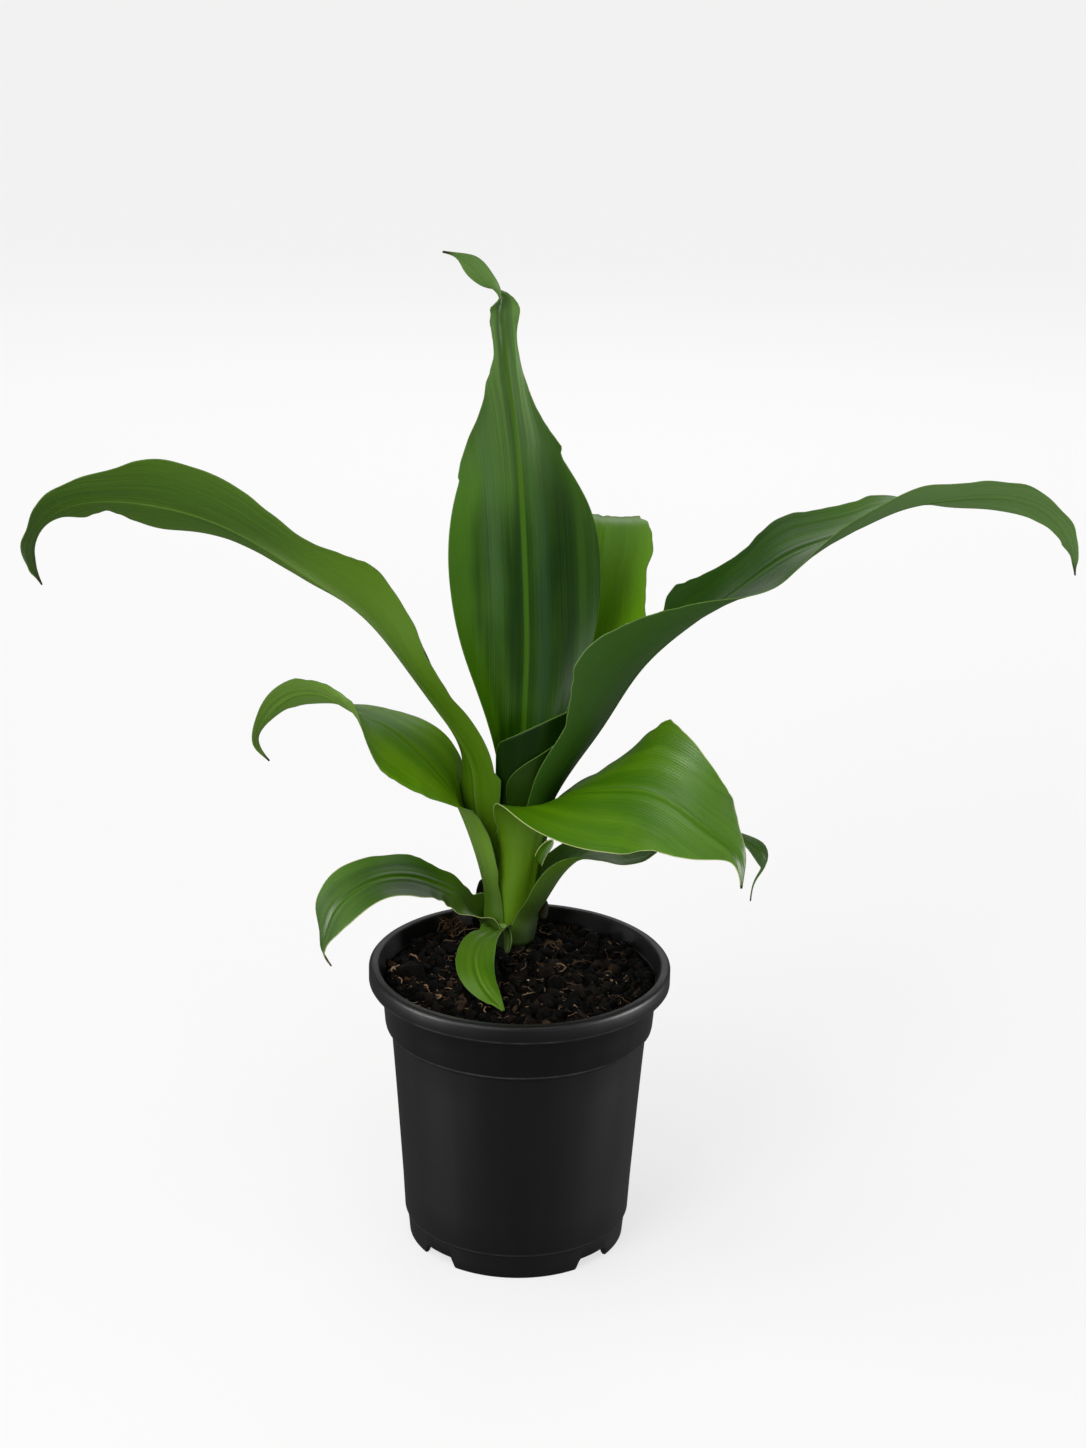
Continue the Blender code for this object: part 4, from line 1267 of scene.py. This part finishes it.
# %% [markdown]
# ## Damp soil
#
# Damp potting mix is nearly black, with browner patches. Two sizes of noise mix the two browns,
# and a few cells of a Voronoi pattern become tiny pale specks.

# %% Soil material
def soil_finish(name, dark, light, dust):
    """Damp crumbs: near black and brown in patches of noise, with tiny pale specks."""
    r = Recipe(name)
    place = r.object_place()
    patch = r.noise(place, 95.0, 4.0, 0.65)
    crumb = r.noise(place, 700.0, 4.0, 0.7)
    shade = r.plus(r.times(patch, 0.6), r.times(crumb, 0.5))
    brown = r.mix(r.ramp(shade, 0.50, 0.78), dark, light)
    speck = r.node("ShaderNodeTexVoronoi", Vector=place, Scale=330.0)
    pick = r.node("ShaderNodeSeparateColor", Color=speck.outputs["Color"]).outputs["Red"]
    dot = r.times(r.ramp(speck.outputs["Distance"], 0.16, 0.26, 1.0, 0.0), r.ramp(pick, 0.90, 0.92))
    brown = r.mix(dot, brown, dust)
    return r.finish(Base_Color=brown, Roughness=r.ramp(crumb, 0.3, 0.7, 0.92, 0.62), Specular_IOR_Level=0.12,
                    Normal=r.bump(crumb, 0.0008, 0.8))


soil_look = soil_finish("damp_soil", (0.0008, 0.0006, 0.0005), (0.0038, 0.0025, 0.0016), (0.10, 0.07, 0.045))
new_piece("soil_heap", soil_points, soil_faces, look=soil_look, node="soil")


# %% [markdown]
# ## Loose crumbs and bark
#
# Crumbs and bark lie on the heap. Each is a ball of few faces whose radius is changed by waves in
# random directions, then stretched, turned and half sunk. Hundreds are worked out in one array.

# %% Lumps
def ball(subdivisions):
    """Points and faces of an icosphere of radius 1."""
    shape = bmesh.new()
    bmesh.ops.create_icosphere(shape, subdivisions=subdivisions, radius=1.0)
    points = np.array([vertex.co[:] for vertex in shape.verts])
    faces = np.array([[vertex.index for vertex in face.verts] for face in shape.faces])
    shape.free()
    return points, faces


def random_turns(count, draw):
    """Rotation matrices from random unit quaternions (w, x, y, z), by the usual nine products."""
    q = draw.normal(size=(count, 4))
    w, x, y, z = (q / np.linalg.norm(q, axis=1)[:, None]).T
    rows = [1 - 2 * (y * y + z * z), 2 * (x * y - w * z), 2 * (x * z + w * y),
            2 * (x * y + w * z), 1 - 2 * (x * x + z * z), 2 * (y * z - w * x),
            2 * (x * z - w * y), 2 * (y * z + w * x), 1 - 2 * (x * x + y * y)]
    return np.stack(rows, axis=-1).reshape(-1, 3, 3)


def scatter_lumps(count, sizes, stretch, subdivisions, seed, rough=0.28, sink=0.25, within=60.0):
    """Lumps on the soil: points, faces and a random tone for each.

    A ball's radius is 1 + rough * the mean of three sines in random directions. The ball is then
    stretched, turned, scaled and sunk by a share of its size.
    """
    draw = np.random.default_rng(seed)
    base, faces = ball(subdivisions)
    distance = within * np.sqrt(draw.uniform(0.0, 1.0, count))
    bearing = draw.uniform(0, 2 * pi, count)
    x, y = distance * np.cos(bearing), distance * np.sin(bearing)
    size = sizes[0] * (sizes[1] / sizes[0]) ** (draw.uniform(0, 1, count) ** 1.7)
    waves = draw.normal(size=(count, 3, 3)) * 2.2
    phase = draw.uniform(0, 2 * pi, (count, 3, 1))
    radius = 1 + rough * np.sin(np.einsum("nij,vj->niv", waves, base) + phase).mean(axis=1) * 1.6
    shape = base[None] * radius[..., None] * (1 + draw.uniform(-1, 1, (count, 1, 3)) * stretch)
    shape = np.einsum("nij,nvj->nvi", random_turns(count, draw), shape) * size[:, None, None]
    centre = np.stack([x, y, soil_height(x, y) - size * sink + 0.2], axis=-1)
    points = (shape + centre[:, None]).reshape(-1, 3)
    faces = (faces[None] + np.arange(count)[:, None, None] * len(base)).reshape(-1, 3)
    tone = np.repeat(draw.uniform(0, 1, (count, 3)), len(base), axis=0)
    return points, faces, {"lump_tone": tone}


def lump_finish(name, dark, light, rough, low=0.2, high=0.95):
    """Each lump has its own tone between two browns, grained by noise."""
    r = Recipe(name)
    tone = r.attribute("lump_tone")[0]
    grain = r.noise(r.object_place(), 900.0, 4.0, 0.7)
    share = r.plus(r.times(tone, 0.75), r.times(grain, 0.4))
    return r.finish(Base_Color=r.mix(r.ramp(share, low, high), dark, light), Roughness=rough,
                    Specular_IOR_Level=0.12, Normal=r.bump(grain, 0.0006, 0.8))


print("points and faces of a ball:", [len(part) for part in ball(2)])

# %% Crumbs, bark and grit
crumb_look = lump_finish("soil_crumb", (0.0009, 0.0007, 0.0005), (0.010, 0.0060, 0.0034), 0.85, 0.50, 1.20)
bark_look = lump_finish("bark", (0.003, 0.0020, 0.0013), (0.055, 0.030, 0.014), 0.75, 0.35, 1.15)
grit_look = lump_finish("grit", (0.12, 0.09, 0.06), (0.50, 0.42, 0.32), 0.8, 0.3, 1.1)
new_piece("soil_crumbs", *scatter_lumps(1500, (0.5, 3.4), 0.35, 2, 61), look=crumb_look, slot="potting_soil")
bits = scatter_lumps(90, (1.2, 3.6), 0.75, 1, 67, rough=0.45, sink=0.05)
new_piece("bark_bits", *bits, look=bark_look, slot="potting_soil", flat=True)
specks = scatter_lumps(150, (0.22, 0.55), 0.4, 1, 71, sink=-0.6)
new_piece("grit_specks", *specks, look=grit_look, slot="potting_soil")


# %% [markdown]
# ## Two larger lumps
#
# A tall black chip of bark stands behind the stem, and a mossy root end beside it. Each is one
# ball of more faces, shaped by waves in the same way.

# %% Bark chip and root lump
def single_lump(centre, size, seed):
    """One larger lump: radius 1 + 0.55 * the mean of five sines in random directions, stretched."""
    draw = np.random.default_rng(seed)
    base, faces = ball(4)
    waves, phase = draw.normal(size=(5, 3)) * 2.8, draw.uniform(0, 2 * pi, 5)
    radius = 1 + 0.55 * np.sin(base @ waves.T + phase).mean(axis=1)
    points = base * radius[:, None] * np.array(size) + np.array(centre)
    return points, faces, {"lump_tone": np.full_like(points, 0.35)}


dark_bark = lump_finish("black_bark", (0.0012, 0.0010, 0.0008), (0.010, 0.0075, 0.0055), 0.7, 0.3, 1.0)
moss_look = lump_finish("mossy_root", (0.010, 0.009, 0.004), (0.050, 0.048, 0.015), 0.85, 0.2, 0.7)
chip = single_lump((-19.5, 54.0, 141.0), (3.6, 2.4, 12.0), 83)
new_piece("bark_chip", *chip, look=dark_bark, slot="potting_soil")
lump = single_lump((11.0, 37.0, 148.5), (2.3, 2.3, 4.8), 89)
new_piece("root_lump", *lump, look=moss_look, slot="potting_soil")


# %% [markdown]
# ## Roots and fibres
#
# Fine roots and coir fibres lie on the soil in curls. Each is a thin tube carried along a path: a
# walk whose heading turns steadily, with its height taken from the soil plus a low arch.

# %% Tubes
TUBE_SIDES = 5
PATH_STEPS = 14


def tubes(paths, radius, sides=TUBE_SIDES):
    """Thin tubes along paths (n, steps, 3) with a radius for each path.

    Each ring is the path's point + radius * (across cos + above sin), and the radius tapers
    towards both ends as the root of 1 - s^4, with s from -1 to 1.
    """
    count, steps = paths.shape[:2]
    along = np.gradient(paths, axis=1)
    along /= np.linalg.norm(along, axis=2)[..., None]
    helper = np.where(np.abs(along[..., 2:]) > 0.9, [1.0, 0.0, 0.0], [0.0, 0.0, 1.0])
    across = np.cross(along, helper)
    across /= np.linalg.norm(across, axis=2)[..., None]
    above = np.cross(across, along)
    taper = np.sqrt(np.clip(1 - np.linspace(-1, 1, steps) ** 4, 0.04, 1.0))
    turn = np.linspace(0, 2 * pi, sides, endpoint=False)
    reach = (radius[:, None] * taper)[..., None, None]
    rings = paths[:, :, None] + reach * (across[:, :, None] * np.cos(turn)[:, None]
                                         + above[:, :, None] * np.sin(turn)[:, None])
    one = grid_faces(steps, sides, closed=True)[:, ::-1]
    faces = (one[None] + np.arange(count)[:, None, None] * steps * sides).reshape(-1, 4)
    triangles = np.concatenate([faces[:, [0, 1, 2]], faces[:, [0, 2, 3]]])
    fan = np.stack([np.zeros(sides - 2, int), np.arange(1, sides - 1), np.arange(2, sides)], axis=-1)
    start = np.arange(count)[:, None, None] * steps * sides
    ends = np.concatenate([(fan + start).reshape(-1, 3),
                           (fan[:, ::-1] + start + (steps - 1) * sides).reshape(-1, 3)])
    return rings.reshape(-1, 3), np.concatenate([triangles, ends])


print("a tube has", PATH_STEPS, "rings of", TUBE_SIDES, "points")

# %% Roots on the soil
ROOTS_WITHIN = 59.5


def root_paths(count, lengths, curl, seed, steps=PATH_STEPS, within=58.0, arch=1.2):
    """Curling walks over the soil: headings that add up small random turns and a steady one."""
    draw = np.random.default_rng(seed)
    distance = within * np.sqrt(draw.uniform(0.0, 1.0, count))
    bearing = draw.uniform(0, 2 * pi, count)
    length = draw.uniform(*lengths, count)
    heading = draw.uniform(0, 2 * pi, count)[:, None]
    heading = heading + np.cumsum(draw.normal(size=(count, steps)) * 0.25, axis=1)
    heading += np.linspace(0, 1, steps) * draw.normal(size=(count, 1)) * curl
    step = (length / steps)[:, None]
    x = (distance * np.cos(bearing))[:, None] + np.cumsum(step * np.cos(heading), axis=1)
    y = (distance * np.sin(bearing))[:, None] + np.cumsum(step * np.sin(heading), axis=1)
    inside = np.minimum(1.0, ROOTS_WITHIN / np.hypot(x, y))
    x, y = x * inside, y * inside
    ground = soil_height(x, y)
    ground = (ground + ground.mean(axis=1)[:, None]) / 2
    rise = draw.uniform(0.1, 1.0, count)[:, None] * arch * np.sin(np.linspace(0, pi, steps))
    tone = np.repeat(draw.uniform(0, 1, (count, 3)), steps * TUBE_SIDES, axis=0)
    return np.stack([x, y, ground + 0.5 + rise], axis=-1), draw, {"lump_tone": tone}


root_look = lump_finish("dry_root", (0.045, 0.024, 0.012), (0.30, 0.19, 0.11), 0.7, 0.3, 1.1)
paths, draw, tone = root_paths(210, (3.0, 12.0), 2.6, 73)
fine_tubes = tubes(paths, draw.uniform(0.10, 0.24, len(paths)))
new_piece("fine_roots", *fine_tubes, tone, look=root_look, slot="potting_soil")
paths, draw, tone = root_paths(34, (7.0, 17.0), 1.8, 79, arch=2.4)
thick_tubes = tubes(paths, draw.uniform(0.22, 0.42, len(paths)))
new_piece("thick_roots", *thick_tubes, tone, look=root_look, slot="potting_soil")


# %% [markdown]
# ## Fibres that stand out
#
# A few pale fibres lie at places that catch the eye, and a tuft of rootlets stands up round the
# bark chip and beside the stem. They are bowed arcs between two listed or drawn points.

# %% Fibres that stand out
def bowed_paths(rows, steps=PATH_STEPS):
    """Arcs from rows of x, y, end x, end y, bow, rise and lift in mm.

    With s from 0 to 1, an arc is bowed sideways and rises as 4 s (1 - s), and its far end is
    lifted as s^1.5.
    """
    x0, y0, x1, y1, bow, rise, lift = (column[:, None] for column in np.array(rows, float).T)
    s = np.linspace(0.0, 1.0, steps)
    hump = 4 * s * (1 - s)
    span = np.hypot(x1 - x0, y1 - y0)
    x = x0 + s * (x1 - x0) - bow * hump * (y1 - y0) / span
    y = y0 + s * (y1 - y0) + bow * hump * (x1 - x0) / span
    return np.stack([x, y, soil_height(x, y) + 0.4 + rise * hump + lift * s ** 1.5], axis=-1)


PALE = [(-61, 1, -54, -4, 1.5, 1.2, 0.4), (-48, -12, -42, -18, 1.2, 1.0, 0.5),
        (-38.5, -25, -37.5, -31, 2.4, 0.8, 0.2), (38, 0, 45, -8, 1.6, 1.0, 0.6),
        (-52, 22, -46, 17, -1.5, 0.8, 0.3), (20, -36, 27, -33, 1.2, 0.7, 0.2)]
TUFT, BESIDE = 34, 9

points, faces = tubes(bowed_paths(PALE), np.full(len(PALE), 0.42))
tone = {"lump_tone": np.full((len(points), 3), 0.95)}
new_piece("pale_fibres", points, faces, tone, look=root_look, slot="potting_soil")

draw = np.random.default_rng(97)
tuft = [draw.normal((-33, 47), 3.2, (TUFT, 2)), draw.normal((-31, 47), 5.0, (TUFT, 2)),
        draw.normal(0, 1.5, (TUFT, 1)), draw.uniform(0.5, 2.5, (TUFT, 1)), draw.uniform(1, 9, (TUFT, 1))]
beside = [draw.normal((11, 36), 1.2, (BESIDE, 2)), draw.normal((19, 33), 3.5, (BESIDE, 2)),
          draw.normal(0, 1.0, (BESIDE, 1)), draw.uniform(1, 4, (BESIDE, 1)), np.zeros((BESIDE, 1))]
paths = bowed_paths(np.concatenate([np.concatenate(rows, axis=1) for rows in (tuft, beside)]))
tuft_tubes = tubes(paths, draw.uniform(0.12, 0.26, len(paths)))
tone = np.repeat(draw.uniform(0, 0.8, (len(paths), 3)), PATH_STEPS * TUBE_SIDES, axis=0)
new_piece("root_tufts", *tuft_tubes, {"lump_tone": tone}, look=root_look, slot="potting_soil")
